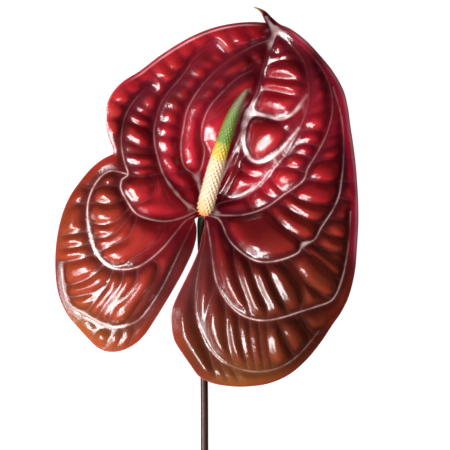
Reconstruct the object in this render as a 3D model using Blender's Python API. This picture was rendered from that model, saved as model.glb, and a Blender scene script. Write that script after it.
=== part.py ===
"""Cut anthurium stem, lying face up on a surface, in metres with +Z up.

Three grown pieces: the quilted, heart-shaped spathe, the spadix that leans up out of its base, and the
peduncle, the leafless flower stalk, which runs from the spathe's back down to the surface.

The outlines and veins below were read by hand as pixels of the photograph, x to the right and y down.
The camera looked straight down, so a pixel at a known height has one place: see place().
"""

import math

import bpy
import numpy as np
from mathutils.geometry import delaunay_2d_cdt

# Driving dimensions
SPATHE_WIDTH = 0.157
SPATHE_THICKNESS = 0.0009
PILLOW_HEIGHT = 0.0044
EDGE_ROLL = 0.0007
EDGE_ROLL_WIDTH = 0.0040
FULL_ROLL_HEIGHT = 0.006
SMOOTH_RIM = 0.0085
SPADIX_TOOTH = 0.00045
FULL_TOOTH_RADIUS = 0.002
REST_SPOT_RADIUS = 0.0042
STALK_RADIUS = 0.0021
STALK_TOP_RADIUS = 0.0019
GAP = 0.0003

# The view that the pixels were read in
SPATHE_WIDTH_PX = 302.5
PIXEL = SPATHE_WIDTH / SPATHE_WIDTH_PX
VIEW_CENTRE = (225.0, 225.0)
VIEW_DISTANCE = 1.5
FOCUS_HEIGHT = 0.020
ORIGIN_PX = (206.477, 406.754)
MM = 0.001

# Mesh spacing, in pixels of the same view, and how near each kind of point may come to the others
OUTLINE_STEP = 1.5
RIM_STEP = 5.2
VEIN_STEP = 4.6
GRID_STEP = 6.2
VEIN_TO_RIM = 2.9
VEIN_TO_VEIN = 2.85
GRID_TO_RIM = 3.6
GRID_TO_OTHERS = 4.5
SLOPE_REACH = 0.5
SAME_POINT = 1e-5
CURVE_STEPS = 12
VEIN_STEPS = 5

# Spacing along the spadix and the stalk
SPADIX_SIDES = 24
SPADIX_RINGS = 74
STALK_SIDES = 12
STALK_STEP = 0.006
FINE_STEP = 0.0003

# Veins: how far the spathe dips along them, as a share of the pillow height, and how wide the dip is
MAIN_VEIN = (1.0, 0.0044)
CROSS_VEIN = (0.62, 0.0025)
FAINT_VEIN = (0.34, 0.0028)
VEIN_REACH = 3

# The spathe's edge, left lobe first, round the tip, to the right lobe. Each run ends at a sharp corner.
RIM_LEFT = [
    (200.5, 216.5), (194.6, 218.8), (196.2, 227), (196.3, 234), (195.2, 241), (192, 252), (187, 263),
    (181, 275), (172.5, 290), (163, 306), (153, 322), (144, 335), (133, 345), (119, 351), (106, 351),
    (96, 346), (87, 337), (77, 326), (68, 315), (61, 301), (57, 286), (55.5, 268), (56, 248), (59, 228),
    (64, 210), (71, 195), (80, 182), (91, 169), (102, 160), (113.5, 154),
]
RIM_HOOD = [
    (113.5, 154), (113.6, 149), (110, 140), (107, 129), (106, 115), (108, 102), (114, 91), (124, 81),
    (140, 71), (157, 58), (175, 46), (195, 35), (215, 27.5), (235, 23.5), (252, 22.3), (266, 23),
]
RIM_TIP = [(266, 23), (264, 18.5), (261, 12.5), (257, 9), (253, 7.2)]
RIM_RIGHT = [
    (253, 7.2), (259, 8.4), (266, 12), (272, 18), (280, 24.5), (291, 29.5), (306, 41), (321, 57),
    (333, 72), (343, 90), (347.5, 107), (350, 125), (353, 145), (355.5, 165), (357, 185), (358, 205),
    (358, 225), (356.5, 250), (354.5, 272), (349, 295), (341, 312), (332, 325), (320, 343), (305, 361),
    (288, 375), (268, 383.5), (245, 386.5), (225, 385.5), (210, 382), (199, 376), (190, 364),
    (183, 354), (175, 341), (172, 327), (172, 312), (175, 302), (181, 289), (188, 275), (195, 260),
    (199.5, 248), (202, 236), (204.4, 226), (204.6, 220), (203.2, 217.4), (200.5, 216.5),
]

# The main veins, which start at the spathe's base and loop round each lobe
MAIN_VEINS = {
    "midrib": [(203, 213), (214, 190), (232, 155), (240, 135), (248, 114), (256, 95), (262, 72),
               (269, 48), (273, 32), (266, 17)],
    "right 1": [(208, 210), (222, 203), (243, 197), (262, 184), (276, 166), (289, 150), (301, 125),
                (307, 108), (309, 88), (304, 62), (290, 42), (277, 28)],
    "right 2": [(209, 214), (226, 216), (246, 215), (266, 208), (284, 195), (303, 181), (308, 168),
                (317, 153), (327, 132), (332, 110), (330, 88), (320, 66), (303, 46), (287, 34)],
    "right 3": [(209, 216), (218, 219), (223, 226), (227, 236), (234, 246), (248, 257), (262, 262),
                (280, 260), (297, 253), (303, 244.5), (314, 239.5), (321, 227), (331, 212), (338, 197),
                (341, 180), (343, 160), (343, 135), (340, 112), (333, 88)],
    "right 4": [(207, 222), (211, 245), (213.5, 264), (217, 282), (225, 298), (237, 311.5),
                (251, 318.5), (266, 320), (282, 317), (299, 311.5), (316, 306), (332, 299), (341, 280),
                (346, 258), (349, 235), (350, 212)],
    "right 5": [(205.5, 226), (204, 246), (199, 270), (196, 295), (198, 320), (207, 343), (219, 358),
                (232, 365.5), (246, 370), (262, 371), (279, 367), (294, 358), (306, 346), (318, 331)],
    "right of midrib": [(249, 113), (244.5, 122), (242.8, 132), (244, 143), (246.5, 151), (251, 158.5),
                        (258, 162), (267, 160), (275, 154.5), (283, 147.5), (291, 138), (299, 128)],
    "right of star": [(249, 113), (258, 114), (268, 116.5), (278, 118.8), (287, 117), (294, 112.5),
                      (300, 105), (307, 95)],
    "left 0": [(195.5, 176), (201, 167), (204, 150), (201, 137), (203, 122), (210, 106), (224, 90),
               (238, 77), (252, 70)],
    "left 1": [(201, 208), (199, 188), (195.5, 176), (184.5, 167), (181, 155), (181, 142), (183, 130),
               (187, 110), (197, 92), (212, 74), (232, 58), (252, 46), (268, 40)],
    "left 2": [(196, 211), (186, 204), (178, 196), (167.5, 182.5), (161.7, 171), (157, 155),
               (154.5, 142), (154, 130), (156, 120), (161, 103), (169, 91), (184, 73), (196, 56),
               (215, 44)],
    "left 3": [(194, 212), (181, 218), (165, 221.5), (150, 219.5), (136, 213.5), (127, 201),
               (121, 189), (122, 180), (128, 174), (124, 160), (121, 140), (124, 118), (134, 100),
               (150, 84)],
    "left 4": [(194, 216), (184, 222), (173, 235), (163, 247), (151, 258), (137, 267), (121, 269),
               (108, 265), (97, 253), (91, 236), (88, 218), (89, 200), (97, 182), (110, 171),
               (127, 174)],
    "left 5": [(194.5, 220), (187, 235), (177, 256), (165, 281), (152, 303), (139, 319), (127, 324.5),
               (113, 326.5), (99, 321.5), (85, 313), (70, 304), (64, 288), (62, 268)],
}

# The cross veins, which part the bands between the main veins into pillows
CROSS_VEINS = {
    "left of the midrib": [
        [(262, 72), (252, 60), (246, 50)],
        [(256, 95), (245, 92), (234, 98), (224, 107), (214, 116), (203, 122)],
        [(203.5, 152), (212, 158), (222, 168)],
    ],
    "midrib to right 1": [
        [(269, 50), (278, 53.5), (288, 49), (294, 44)],
        [(264, 66), (274, 62), (286, 60), (297, 60), (303.5, 61)],
        [(261, 78), (272, 77.5), (284, 78.5), (296, 80), (308, 83)],
        [(257, 92), (268, 90.5), (280, 92), (292, 94.8), (305, 98)],
        [(283, 118.5), (283.5, 126), (289, 131), (298, 128)],
        [(242, 168), (252, 175), (262, 176), (268, 174)],
        [(247, 152), (241, 163), (237, 176), (231, 188), (222, 200)],
    ],
    "right 1 to right 2": [
        [(249, 194), (250, 203), (255, 212)],
        [(262, 186), (268, 194), (277, 200)],
        [(270, 174), (277, 184), (285, 193)],
        [(277, 166), (290, 167), (305, 172)],
        [(283, 157), (297, 153), (313, 159)],
        [(291, 147), (305, 143), (320, 146)],
        [(299, 130), (312, 129), (327, 131)],
        [(306, 113), (317, 111.5), (330, 105)],
        [(307.5, 106), (318, 102), (331, 94)],
        [(309, 95), (316, 89), (327, 80)],
        [(309, 82), (316, 74), (323, 69)],
        [(306, 68), (311, 58), (314, 59)],
        [(300, 54), (306, 49)],
    ],
    "right 2 to right 3": [
        [(268, 208), (276, 220), (283, 228.5), (291, 234.5), (298, 238.5), (303, 244)],
        [(281, 204), (291, 211), (302, 218.5), (312, 222.5), (320, 222.5), (326, 219.5)],
        [(291, 192.5), (300, 199.5), (312, 203.5), (324, 205), (335.5, 203)],
        [(305, 178.5), (311, 180), (320, 182), (330, 183), (341, 180.5)],
        [(312, 163), (320, 160.5), (331, 159.5), (343, 157)],
        [(319, 148), (330, 146), (343, 141)],
        [(325, 136), (334, 134), (343, 130)],
        [(329, 124), (336, 121), (341, 118)],
        [(332, 108), (337, 105)],
    ],
    "right 3 to the edge": [
        [(343, 157), (353, 158)],
        [(341, 181), (347, 181.5), (354, 181)],
        [(338, 197), (345, 199), (354, 201)],
        [(328, 217), (338, 220), (353, 223)],
        [(320.5, 228), (330, 236), (343, 240), (353, 241)],
        [(312, 241.5), (318, 247.5), (328, 250.5), (341, 253), (352, 256)],
    ],
    "right 3 to right 4": [
        [(318, 248), (327, 256.5), (338, 262.5), (346, 266)],
        [(302, 247), (311, 256), (323, 267), (334, 276.5), (342, 282)],
        [(289, 258), (296, 269), (304, 281), (314, 290), (325, 296), (334, 299)],
        [(281, 260), (289, 271), (297, 284), (301, 297), (300, 311)],
        [(266, 262), (270, 275), (277, 292), (284, 305), (290, 315)],
        [(248, 257), (253, 272), (259, 290), (266, 306), (268, 320)],
        [(233.5, 246), (236, 262), (241, 282), (247, 300), (252, 318)],
    ],
    "right 4 to right 5": [
        [(217, 282), (213, 296), (208, 312), (206, 328), (209, 345)],
        [(225.5, 298), (227, 315), (228, 335), (231, 352), (237, 367)],
        [(239, 312.5), (240, 330), (243, 348), (249, 369)],
        [(250, 318.5), (250, 335), (252, 350), (257, 370)],
        [(259, 320), (259, 338), (261, 352), (265, 370.5)],
        [(268, 320), (266, 335), (268, 352), (273, 368)],
        [(277, 318), (281, 333), (289, 349), (296, 357)],
        [(294, 313.5), (301, 325), (309, 338), (314, 343)],
        [(300, 311.5), (304, 322), (311, 331), (317, 334.5), (323, 330), (328, 323)],
    ],
    "right 5 to the edge": [
        [(208, 345), (212, 360), (217, 376)],
        [(219, 358), (224, 370), (230, 383)],
        [(232, 365.5), (236, 374), (241, 384)],
    ],
    "left 0 to left 1": [
        [(184.5, 120), (194, 115), (204, 117)],
        [(191, 101), (200, 97), (213, 102)],
        [(200, 88), (209, 84), (221, 93)],
        [(214, 73), (226, 76), (238, 77)],
    ],
    "left 1 to left 2": [
        [(174, 192), (184, 187), (196, 184)],
        [(160, 167), (170, 171), (180, 171), (188, 169)],
        [(155.5, 149), (166, 153), (175, 157), (181, 156)],
        [(154, 135), (164, 136), (173, 136), (182, 139)],
        [(156, 120), (166, 122), (176, 124), (183, 129)],
        [(161, 104), (171, 108), (180, 114), (185, 119)],
        [(169, 91), (178, 97), (188, 107)],
        [(176, 82), (186, 86), (195, 95)],
        [(185, 72), (194, 76), (203, 84)],
        [(191, 62), (202, 65), (213, 73)],
        [(199, 54), (210, 57), (222, 66)],
        [(208, 47), (220, 49), (233, 57)],
    ],
    "left 2 to left 3 and the edge": [
        [(128, 174), (135, 176.5), (146, 176.5), (162, 172.5)],
        [(150, 176.5), (154, 186), (150, 197), (140, 203), (130, 205)],
        [(124, 164), (135, 166), (150, 166), (159, 164)],
        [(122, 152), (135, 153), (146, 154), (156, 153)],
        [(110, 137), (121, 140), (129, 142), (141, 147), (154, 147)],
        [(111, 119), (123, 119), (137, 125), (154, 132)],
        [(112, 101), (124, 104), (138, 111), (156, 120)],
    ],
    "the hood's top": [
        [(122, 87), (134, 96), (152, 111), (159, 110)],
        [(134, 76), (144, 84), (157, 94), (166, 97)],
        [(146, 67), (155, 73), (166, 82), (176, 84)],
        [(160, 58), (170, 67), (185, 72)],
        [(174, 48), (184, 57), (196, 57)],
        [(188, 40), (198, 48), (208, 48)],
        [(205, 33), (214, 42), (222, 50), (232, 58)],
        [(224, 28), (233, 40), (243, 51)],
        [(243, 25), (250, 36), (256, 45)],
    ],
    "left 3 to left 4": [
        [(93, 189), (104, 186), (121, 186)],
        [(88.5, 204), (100, 203), (112, 204), (125, 198)],
        [(88.5, 221), (103, 224.5), (116, 221.5), (130, 207.5)],
        [(91, 236), (104, 237), (118, 231.5), (133, 211.5)],
        [(97, 253.3), (108.8, 247), (126.5, 238.8), (132, 230.6), (136, 220.4), (137, 214)],
        [(122, 269), (131, 259), (146, 249), (158, 240), (166, 222)],
    ],
    "left 4 to the edge": [
        [(93, 189), (82, 187), (75, 189)],
        [(88.5, 203), (76, 204), (66, 208)],
        [(90, 230), (76, 233), (60, 235)],
        [(93, 243), (78, 246), (59, 248)],
        [(97, 253), (82, 258), (67, 261), (59, 262)],
    ],
    "left 4 to left 5": [
        [(105, 264), (95, 274), (84, 280), (64, 286)],
        [(114, 268), (110, 280), (103, 292), (92, 306), (85, 313)],
        [(106, 286), (96, 291), (84, 294), (68, 297)],
        [(124, 269), (122, 281), (114, 294), (104, 308), (96, 320)],
        [(138, 267), (136, 280), (127, 293), (115, 306), (108, 325)],
        [(151, 258), (157, 266), (151, 285), (139, 303), (128, 320)],
    ],
    "left 5 to the edge": [
        [(85, 313), (79, 318), (74, 320)],
        [(102, 323), (96, 332), (90, 339)],
        [(113, 326.5), (110, 338), (105, 348)],
        [(124, 325), (122, 336), (116, 348)],
        [(135, 321), (134, 332), (129, 344)],
    ],
}

# The bands whose cross veins are hardly sunk
FAINT_BANDS = ("left 0 to left 1", "left 1 to left 2", "the hood's top")

# Where the raised back of the midrib rests flat on the surface
REST_SPOT = (214.0, 193.0)

# Heights of the spathe's middle surface along its veins, in millimetres: x, y, height
SUPPORT = 0.45
MARGIN_SUPPORT = 0.2
HEIGHTS_MM = [
    # The edge, from the base round the left lobe, the hood, the tip and the right lobe
    (200.5, 216.5, 6.6), (195.5, 241, 12.0), (187, 263, 15.5), (172.5, 290, 15.0), (153, 322, 11.0),
    (133, 345, 6.5), (106, 351, 3.0), (87, 337, 0.9), (77, 326, MARGIN_SUPPORT), (61, 301, 1.7),
    (55.5, 268, 6.5), (59, 228, 11.5), (71, 195, 15.5), (91, 169, 19.0), (113.5, 154, 24.5),
    (107, 129, 30.5), (108, 102, 35.0), (124, 81, 38.0), (157, 58, 39.5), (195, 35, 40.5),
    (235, 23.5, 38.5), (262, 22.5, 36.0), (261, 12.5, 35.0), (253, 7.2, 37.0), (272, 18, 32.0),
    (291, 29.5, 31.0), (321, 57, 28.0), (343, 90, 23.5), (350, 125, 19.0), (355.5, 165, 15.5),
    (358, 215, 12.0), (356, 250, 8.5), (349, 295, 2.5), (332, 325, MARGIN_SUPPORT), (305, 361, 1.2),
    (268, 383.5, 5.5), (225, 385.5, 10.0), (199, 376, 12.0), (183, 354, 12.5), (172, 327, 13.5),
    (175, 302, 15.0), (188, 275, 16.0), (199.5, 248, 14.0), (204.5, 226, 9.0),
    # The left lobe's dome
    (165, 235, 22.0), (130, 262, 24.5), (100, 280, 17.5), (120, 310, 15.5), (150, 285, 20.5),
    (75, 285, 8.5), (100, 220, 22.5), (80, 240, 16.5), (140, 200, 24.5), (112, 185, 24.0),
    (85, 205, 19.5),
    # The right lobe's dome
    (225, 250, 21.0), (245, 290, 27.0), (240, 335, 23.0), (285, 330, 17.5), (300, 290, 22.0),
    (322, 300, 12.0), (270, 360, 13.0), (215, 350, 18.5), (195, 330, 17.0), (270, 235, 26.0),
    (300, 225, 26.0), (335, 230, 18.5), (215, 290, 22.5),
    # The hood on the left, above the notch
    (170, 190, 18.0), (150, 150, 22.5), (130, 120, 25.5), (150, 95, 28.5), (180, 70, 31.5),
    (213, 50, 32.0), (170, 130, 21.5), (195, 110, 22.5), (195, 160, 14.0), (215, 80, 26.5),
    (225, 120, 18.0), (240, 50, 31.0), (246, 75, 25.0),
    # The gutter along the midrib, whose back is the third low point
    (203, 211, 6.2), (214, 193, SUPPORT), (232, 155, 7.0), (248, 116, 14.0), (262, 74, 21.5),
    (271, 46, 26.0), (273, 32, 27.5),
    # The wall on the right, up to its crest along the first vein, and its outer side
    (285, 75, 26.5), (300, 72, 30.0), (306, 95, 29.5), (300, 125, 27.5), (287, 152, 22.0),
    (270, 130, 21.0), (262, 160, 15.5), (245, 185, 8.5), (225, 203, 3.5), (250, 205, 10.0),
    (280, 185, 19.0), (310, 180, 25.0), (325, 150, 24.0), (330, 110, 25.5), (322, 80, 28.5),
    (305, 50, 30.5), (290, 48, 28.5),
]

# The spadix's axis, from the spathe up to its tip: x, y, height in millimetres
SPADIX_AXIS = [
    (203.2, 212.2, 7.5), (204.2, 210.3, 9.5), (205.6, 206, 12.8), (208, 196.5, 16.8),
    (212, 182, 22.4), (220, 153, 33.8), (230.4, 121.3, 46.0), (236.4, 107.5, 51.4), (241.5, 98.4, 55.0),
    (247.5, 88.7, 58.8),
]
# Its radius in millimetres at shares of its length
SPADIX_RADII = [
    (0.0, 2.2), (0.03, 3.4), (0.07, 4.05), (0.15, 4.2), (0.30, 4.2), (0.45, 3.85), (0.60, 3.4),
    (0.75, 2.95), (0.86, 2.4), (0.93, 1.8), (0.975, 1.2), (1.0, 0.45),
]

# The stalk's centre line, from its cut end to the spathe's back: x, y, height in millimetres
STALK_LINE = [
    (205.6, 797, 2.1), (204.9, 620, 2.1), (204.5, 450, 2.1), (204.2, 383, 2.1), (203.2, 320, 2.1),
    (202.0, 270, 2.1), (201.2, 244, 2.1), (200.9, 232, 2.2), (200.8, 224, 2.7), (201.4, 219.3, 3.8),
    (202.6, 215.6, 5.4),
]


def smooth(points, steps=CURVE_STEPS):
    """A Catmull-Rom curve through the points, sampled steps times between each two."""
    points = np.array(points, float)
    before = 2 * points[0] - points[1]
    after = 2 * points[-1] - points[-2]
    points = np.vstack([before, points, after])
    curve = []
    for p0, p1, p2, p3 in zip(points, points[1:], points[2:], points[3:]):
        for step in range(steps):
            t = step / steps
            curve.append(0.5 * (2 * p1 + (p2 - p0) * t + (2 * p0 - 5 * p1 + 4 * p2 - p3) * t**2
                                + (3 * p1 - p0 - 3 * p2 + p3) * t**3))
    curve.append(points[-2])
    return np.array(curve)


def resample(path, step):
    """The path at even distances of about step, with both ends kept."""
    lengths = np.concatenate([[0], np.cumsum(np.linalg.norm(np.diff(path, axis=0), axis=1))])
    count = max(1, round(lengths[-1] / step))
    at = np.linspace(0, lengths[-1], count + 1)
    return np.column_stack([np.interp(at, lengths, path[:, axis]) for axis in range(path.shape[1])])


def rim(step):
    """The closed edge of the spathe, with its sharp corners kept."""
    runs = [resample(smooth(run), step)[:-1] for run in (RIM_LEFT, RIM_HOOD, RIM_TIP, RIM_RIGHT)]
    return np.vstack(runs)


def distance_to(path, points):
    """How far each point is from the nearest stretch of the path."""
    nearest = np.full(len(points), np.inf)
    for start, end in zip(path, path[1:]):
        along = end - start
        share = ((points - start) @ along) / max(along @ along, 1e-12)
        foot = start + np.clip(share, 0, 1)[:, None] * along
        nearest = np.minimum(nearest, np.linalg.norm(points - foot, axis=1))
    return nearest


def inside(polygon, points):
    """Which points lie inside the polygon, by counting the edges that a ray crosses."""
    result = np.zeros(len(points), bool)
    for (x0, y0), (x1, y1) in zip(polygon, np.roll(polygon, -1, axis=0)):
        crosses = (points[:, 1] < y0) != (points[:, 1] < y1)
        if crosses.any():
            at = x0 + (points[:, 1] - y0) * (x1 - x0) / (y1 - y0)
            result ^= crosses & (points[:, 0] < at)
    return result


def vein_paths():
    """Each vein's smooth path with its depth and width."""
    for points in MAIN_VEINS.values():
        yield smooth(points, VEIN_STEPS), MAIN_VEIN
    for band, paths in CROSS_VEINS.items():
        dip = FAINT_VEIN if band in FAINT_BANDS else CROSS_VEIN
        for points in paths:
            yield smooth(points, VEIN_STEPS), dip


def place(points, heights):
    """The point in space that the camera saw at each pixel, at the given height."""
    nearness = (VIEW_DISTANCE - heights) / (VIEW_DISTANCE - FOCUS_HEIGHT)
    x = (points[:, 0] - VIEW_CENTRE[0]) * nearness + VIEW_CENTRE[0] - ORIGIN_PX[0]
    y = (points[:, 1] - VIEW_CENTRE[1]) * nearness + VIEW_CENTRE[1] - ORIGIN_PX[1]
    return np.column_stack([x * PIXEL, -y * PIXEL, heights])


def bend(distance):
    """The thin plate's kernel, r squared times log r."""
    return distance**2 * np.log(np.maximum(distance, 1e-9))


class Spathe:
    """The spathe's middle surface: a thin plate through the heights, with its edge rolled down."""

    def __init__(self):
        knots = np.array(HEIGHTS_MM)
        self.knots = knots[:, :2]
        self.outline = rim(OUTLINE_STEP)
        self.veins = list(vein_paths())
        count = len(knots)
        flat = np.column_stack([np.ones(count), self.knots])
        system = np.zeros((count + 3, count + 3))
        system[:count, :count] = bend(np.linalg.norm(self.knots[:, None] - self.knots[None], axis=2))
        system[:count, count:] = flat
        system[count:, :count] = flat.T
        wanted = np.concatenate([knots[:, 2] * MM, np.zeros(3)])
        self.weights = np.linalg.solve(system, wanted)

    def edge_distance(self, points):
        closed = np.vstack([self.outline, self.outline[:1]])
        return distance_to(closed, points) * PIXEL

    def heights(self, points):
        count = len(self.knots)
        kernel = bend(np.linalg.norm(points[:, None] - self.knots[None], axis=2))
        plate = kernel @ self.weights[:count] + self.weights[count] + points @ self.weights[count + 1:]
        turned = np.clip(1 - self.edge_distance(points) / EDGE_ROLL_WIDTH, 0, 1)
        room = np.clip(plate / FULL_ROLL_HEIGHT, 0, 1)
        return plate - EDGE_ROLL * room * turned**2

    def surface(self, points):
        """Each point's place on the middle surface and the surface's normal there."""
        centre = place(points, self.heights(points))
        right = points + (SLOPE_REACH, 0)
        left = points - (SLOPE_REACH, 0)
        up = points - (0, SLOPE_REACH)
        down = points + (0, SLOPE_REACH)
        along_x = place(right, self.heights(right)) - place(left, self.heights(left))
        along_y = place(up, self.heights(up)) - place(down, self.heights(down))
        normal = np.cross(along_x, along_y)
        return centre, normal / np.linalg.norm(normal, axis=1)[:, None]

    def relief(self, points):
        """How far the pillows stand up between the veins."""
        level = np.ones(len(points))
        for path, (depth, width) in self.veins:
            reach = VEIN_REACH * width / PIXEL
            near = np.all((points > path.min(0) - reach) & (points < path.max(0) + reach), axis=1)
            away = distance_to(path, points[near]) * PIXEL
            level[near] *= 1 - depth * np.exp(-(away / width) ** 2)
        share = np.clip(self.edge_distance(points) / SMOOTH_RIM, 0, 1)
        return PILLOW_HEIGHT * level * share**2 * (3 - 2 * share)


def thin_out(points, kept, gap):
    """The points that are at least gap from every kept point and from each other."""
    chosen = []
    cells = {}
    for x, y in kept:
        cells.setdefault((int(x // gap), int(y // gap)), []).append((x, y))
    for x, y in points:
        column, row = int(x // gap), int(y // gap)
        near = [p for i in (-1, 0, 1) for j in (-1, 0, 1) for p in cells.get((column + i, row + j), [])]
        if all((x - a) ** 2 + (y - b) ** 2 >= gap**2 for a, b in near):
            chosen.append((x, y))
            cells.setdefault((column, row), []).append((x, y))
    return np.array(chosen).reshape(-1, 2)


def within(spathe, points, margin):
    """The points that lie inside the spathe's edge and at least margin pixels from it."""
    points = points[inside(spathe.outline, points)]
    return points[spathe.edge_distance(points) > margin * PIXEL]


def honeycomb(low, high):
    """Points of an even triangular grid between two corners."""
    rows = GRID_STEP * math.sqrt(3) / 2
    grid = []
    for row in range(int((high[1] - low[1]) / rows)):
        shift = GRID_STEP / 2 if row % 2 else 0
        for column in range(int((high[0] - low[0]) / GRID_STEP)):
            grid.append((low[0] + shift + column * GRID_STEP, low[1] + row * rows))
    return np.array(grid)


def sheet_points(spathe):
    """Points for the spathe's mesh: its rim, then samples along the veins, then an even grid."""
    edge = rim(RIM_STEP)
    samples = np.vstack([resample(path, VEIN_STEP) for path, _ in spathe.veins])
    samples = thin_out(within(spathe, samples, VEIN_TO_RIM), edge, VEIN_TO_VEIN)
    grid = within(spathe, honeycomb(edge.min(0), edge.max(0)), GRID_TO_RIM)
    grid = thin_out(grid, np.vstack([edge, samples]), GRID_TO_OTHERS)
    return np.vstack([edge, samples, grid]), len(edge)


def triangulate(points, edge_count):
    """Triangles inside the closed rim that the first edge_count points make, seen from above."""
    edges = [(i, (i + 1) % edge_count) for i in range(edge_count)]
    flipped = [(float(x), -float(y)) for x, y in points]
    result = delaunay_2d_cdt(flipped, edges, [], 1, SAME_POINT)
    flat = np.array([(x, -y) for x, y in result[0]])
    return flat, [tuple(face) for face in result[2]]


def mesh_object(name, points, faces, material):
    """A smooth-shaded object of these points and faces."""
    mesh = bpy.data.meshes.new(name)
    mesh.from_pydata([tuple(p) for p in points], [], [tuple(f) for f in faces])
    mesh.materials.append(material)
    mesh.shade_smooth()
    mesh.validate()
    obj = bpy.data.objects.new(name, mesh)
    bpy.context.scene.collection.objects.link(obj)
    return obj


def shell_faces(faces, count):
    """The face's triangles, the same ones turned over for the back, and two for each stretch of rim."""
    directed = {(a, b) for f in faces for a, b in zip(f, f[1:] + f[:1])}
    shell = list(faces)
    shell += [tuple(i + count for i in reversed(f)) for f in faces]
    for a, b in sorted(directed):
        if (b, a) not in directed:
            shell.append((a, a + count, b + count))
            shell.append((a, b + count, b))
    return shell


def make_spathe(spathe, material):
    """The blade, with the same triangles on its face and its back, cut flat where it rests."""
    points, edge_count = sheet_points(spathe)
    flat, faces = triangulate(points, edge_count)
    centre, normal = spathe.surface(flat)
    lift = spathe.relief(flat)[:, None]
    face_side = centre + normal * (lift + SPATHE_THICKNESS / 2)
    back_side = centre + normal * (lift - SPATHE_THICKNESS / 2)
    spot = np.linalg.norm(flat - REST_SPOT, axis=1) * PIXEL < REST_SPOT_RADIUS
    back_side[spot, 2] = 0
    back_side[:, 2] = np.maximum(back_side[:, 2], 0)
    points = np.vstack([face_side, back_side])
    return mesh_object("spathe", points, shell_faces(faces, len(flat)), material)


def pixels_of(points):
    """The pixel at which the camera saw each point in space: place() turned round."""
    nearness = (VIEW_DISTANCE - points[:, 2]) / (VIEW_DISTANCE - FOCUS_HEIGHT)
    x = (points[:, 0] / PIXEL + ORIGIN_PX[0] - VIEW_CENTRE[0]) / nearness + VIEW_CENTRE[0]
    y = (-points[:, 1] / PIXEL + ORIGIN_PX[1] - VIEW_CENTRE[1]) / nearness + VIEW_CENTRE[1]
    return np.column_stack([x, y])


def rings_along(axis, radii, sides, tooth=0.0):
    """Rings of points round a curved axis; tooth raises every other point of a ring, in turn."""
    tangents = np.gradient(axis, axis=0)
    tangents /= np.linalg.norm(tangents, axis=1)[:, None]
    side = np.cross(tangents[0], (0, 0, 1))
    rings = []
    for index, (centre, tangent, radius) in enumerate(zip(axis, tangents, radii)):
        side = side - tangent * (side @ tangent)
        side /= np.linalg.norm(side)
        up = np.cross(tangent, side)
        ring = []
        for step in range(sides):
            angle = 2 * math.pi * step / sides
            bump = tooth if (index + step) % 2 else -tooth
            reach = radius + bump * min(1, radius / FULL_TOOTH_RADIUS)
            ring.append(centre + reach * (math.cos(angle) * side + math.sin(angle) * up))
        rings.append(ring)
    return np.array(rings)


def tube_faces(ring_count, sides):
    """Quads between neighbouring rings, and a fan to a centre point over each end."""
    faces = []
    for ring in range(ring_count - 1):
        for step in range(sides):
            after = (step + 1) % sides
            low, high = ring * sides, (ring + 1) * sides
            faces.append((low + step, low + after, high + after, high + step))
    start_centre = ring_count * sides
    end_centre = start_centre + 1
    last = (ring_count - 1) * sides
    for step in range(sides):
        after = (step + 1) % sides
        faces.append((start_centre, after, step))
        faces.append((end_centre, last + step, last + after))
    return faces


def lie_against(spathe, points, side):
    """The points moved straight up or down to a small gap from the spathe's face (1) or back (-1)."""
    pixels = pixels_of(points)
    centre, normal = spathe.surface(pixels)
    offset = spathe.relief(pixels) + side * (SPATHE_THICKNESS / 2 + 2 * GAP)
    moved = points.copy()
    moved[:, 2] = centre[:, 2] + offset / normal[:, 2]
    return moved


def path_in_space(readings, step):
    """A smooth path through readings of x, y and height in millimetres, at even distances."""
    curve = smooth(readings)
    placed = place(curve[:, :2], curve[:, 2] * MM)
    return resample(placed, step)


def make_spadix(spathe, material):
    """The spadix: a tapering column covered in diamond-shaped florets, on a short neck."""
    curve = path_in_space(SPADIX_AXIS, FINE_STEP)
    axis = curve[np.linspace(0, len(curve) - 1, SPADIX_RINGS).round().astype(int)]
    shares = np.linspace(0, 1, SPADIX_RINGS)
    table = np.array(SPADIX_RADII)
    radii = np.interp(shares, table[:, 0], table[:, 1]) * MM
    rings = rings_along(axis, radii, SPADIX_SIDES, SPADIX_TOOTH)
    rings[0] = lie_against(spathe, rings[0], 1)
    foot = lie_against(spathe, rings[0].mean(0)[None], 1)
    tip = axis[-1:] + (axis[-1:] - axis[-2:-1]) / 2
    points = np.vstack([rings.reshape(-1, 3), foot, tip])
    return mesh_object("spadix", points, tube_faces(SPADIX_RINGS, SPADIX_SIDES), material)


def make_peduncle(spathe, material):
    """The stalk: round, straight along the surface, then curving up to the spathe's back."""
    axis = path_in_space(STALK_LINE, STALK_STEP)
    radii = np.linspace(STALK_RADIUS, STALK_TOP_RADIUS, len(axis))
    rings = rings_along(axis, radii, STALK_SIDES)
    rings[-1] = lie_against(spathe, rings[-1], -1)
    top = lie_against(spathe, rings[-1].mean(0)[None], -1)
    points = np.vstack([rings.reshape(-1, 3), axis[:1], top])
    return mesh_object("peduncle", points, tube_faces(len(axis), STALK_SIDES), material)


def make_material(name, colour, roughness):
    """A Principled material with a plain colour."""
    material = bpy.data.materials.new(name)
    material.use_nodes = True
    shader = material.node_tree.nodes["Principled BSDF"]
    shader.inputs["Base Color"].default_value = (*colour, 1)
    shader.inputs["Roughness"].default_value = roughness
    shader.inputs["Metallic"].default_value = 0
    material.diffuse_color = (*colour, 1)
    return material


def main():
    for obj in list(bpy.data.objects):
        bpy.data.objects.remove(obj)
    spathe = Spathe()
    make_spathe(spathe, make_material("crimson spathe", (0.42, 0.015, 0.03), 0.2))
    make_spadix(spathe, make_material("cream spadix", (0.85, 0.65, 0.32), 0.5))
    make_peduncle(spathe, make_material("dark stalk", (0.06, 0.03, 0.025), 0.45))


main()
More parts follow.
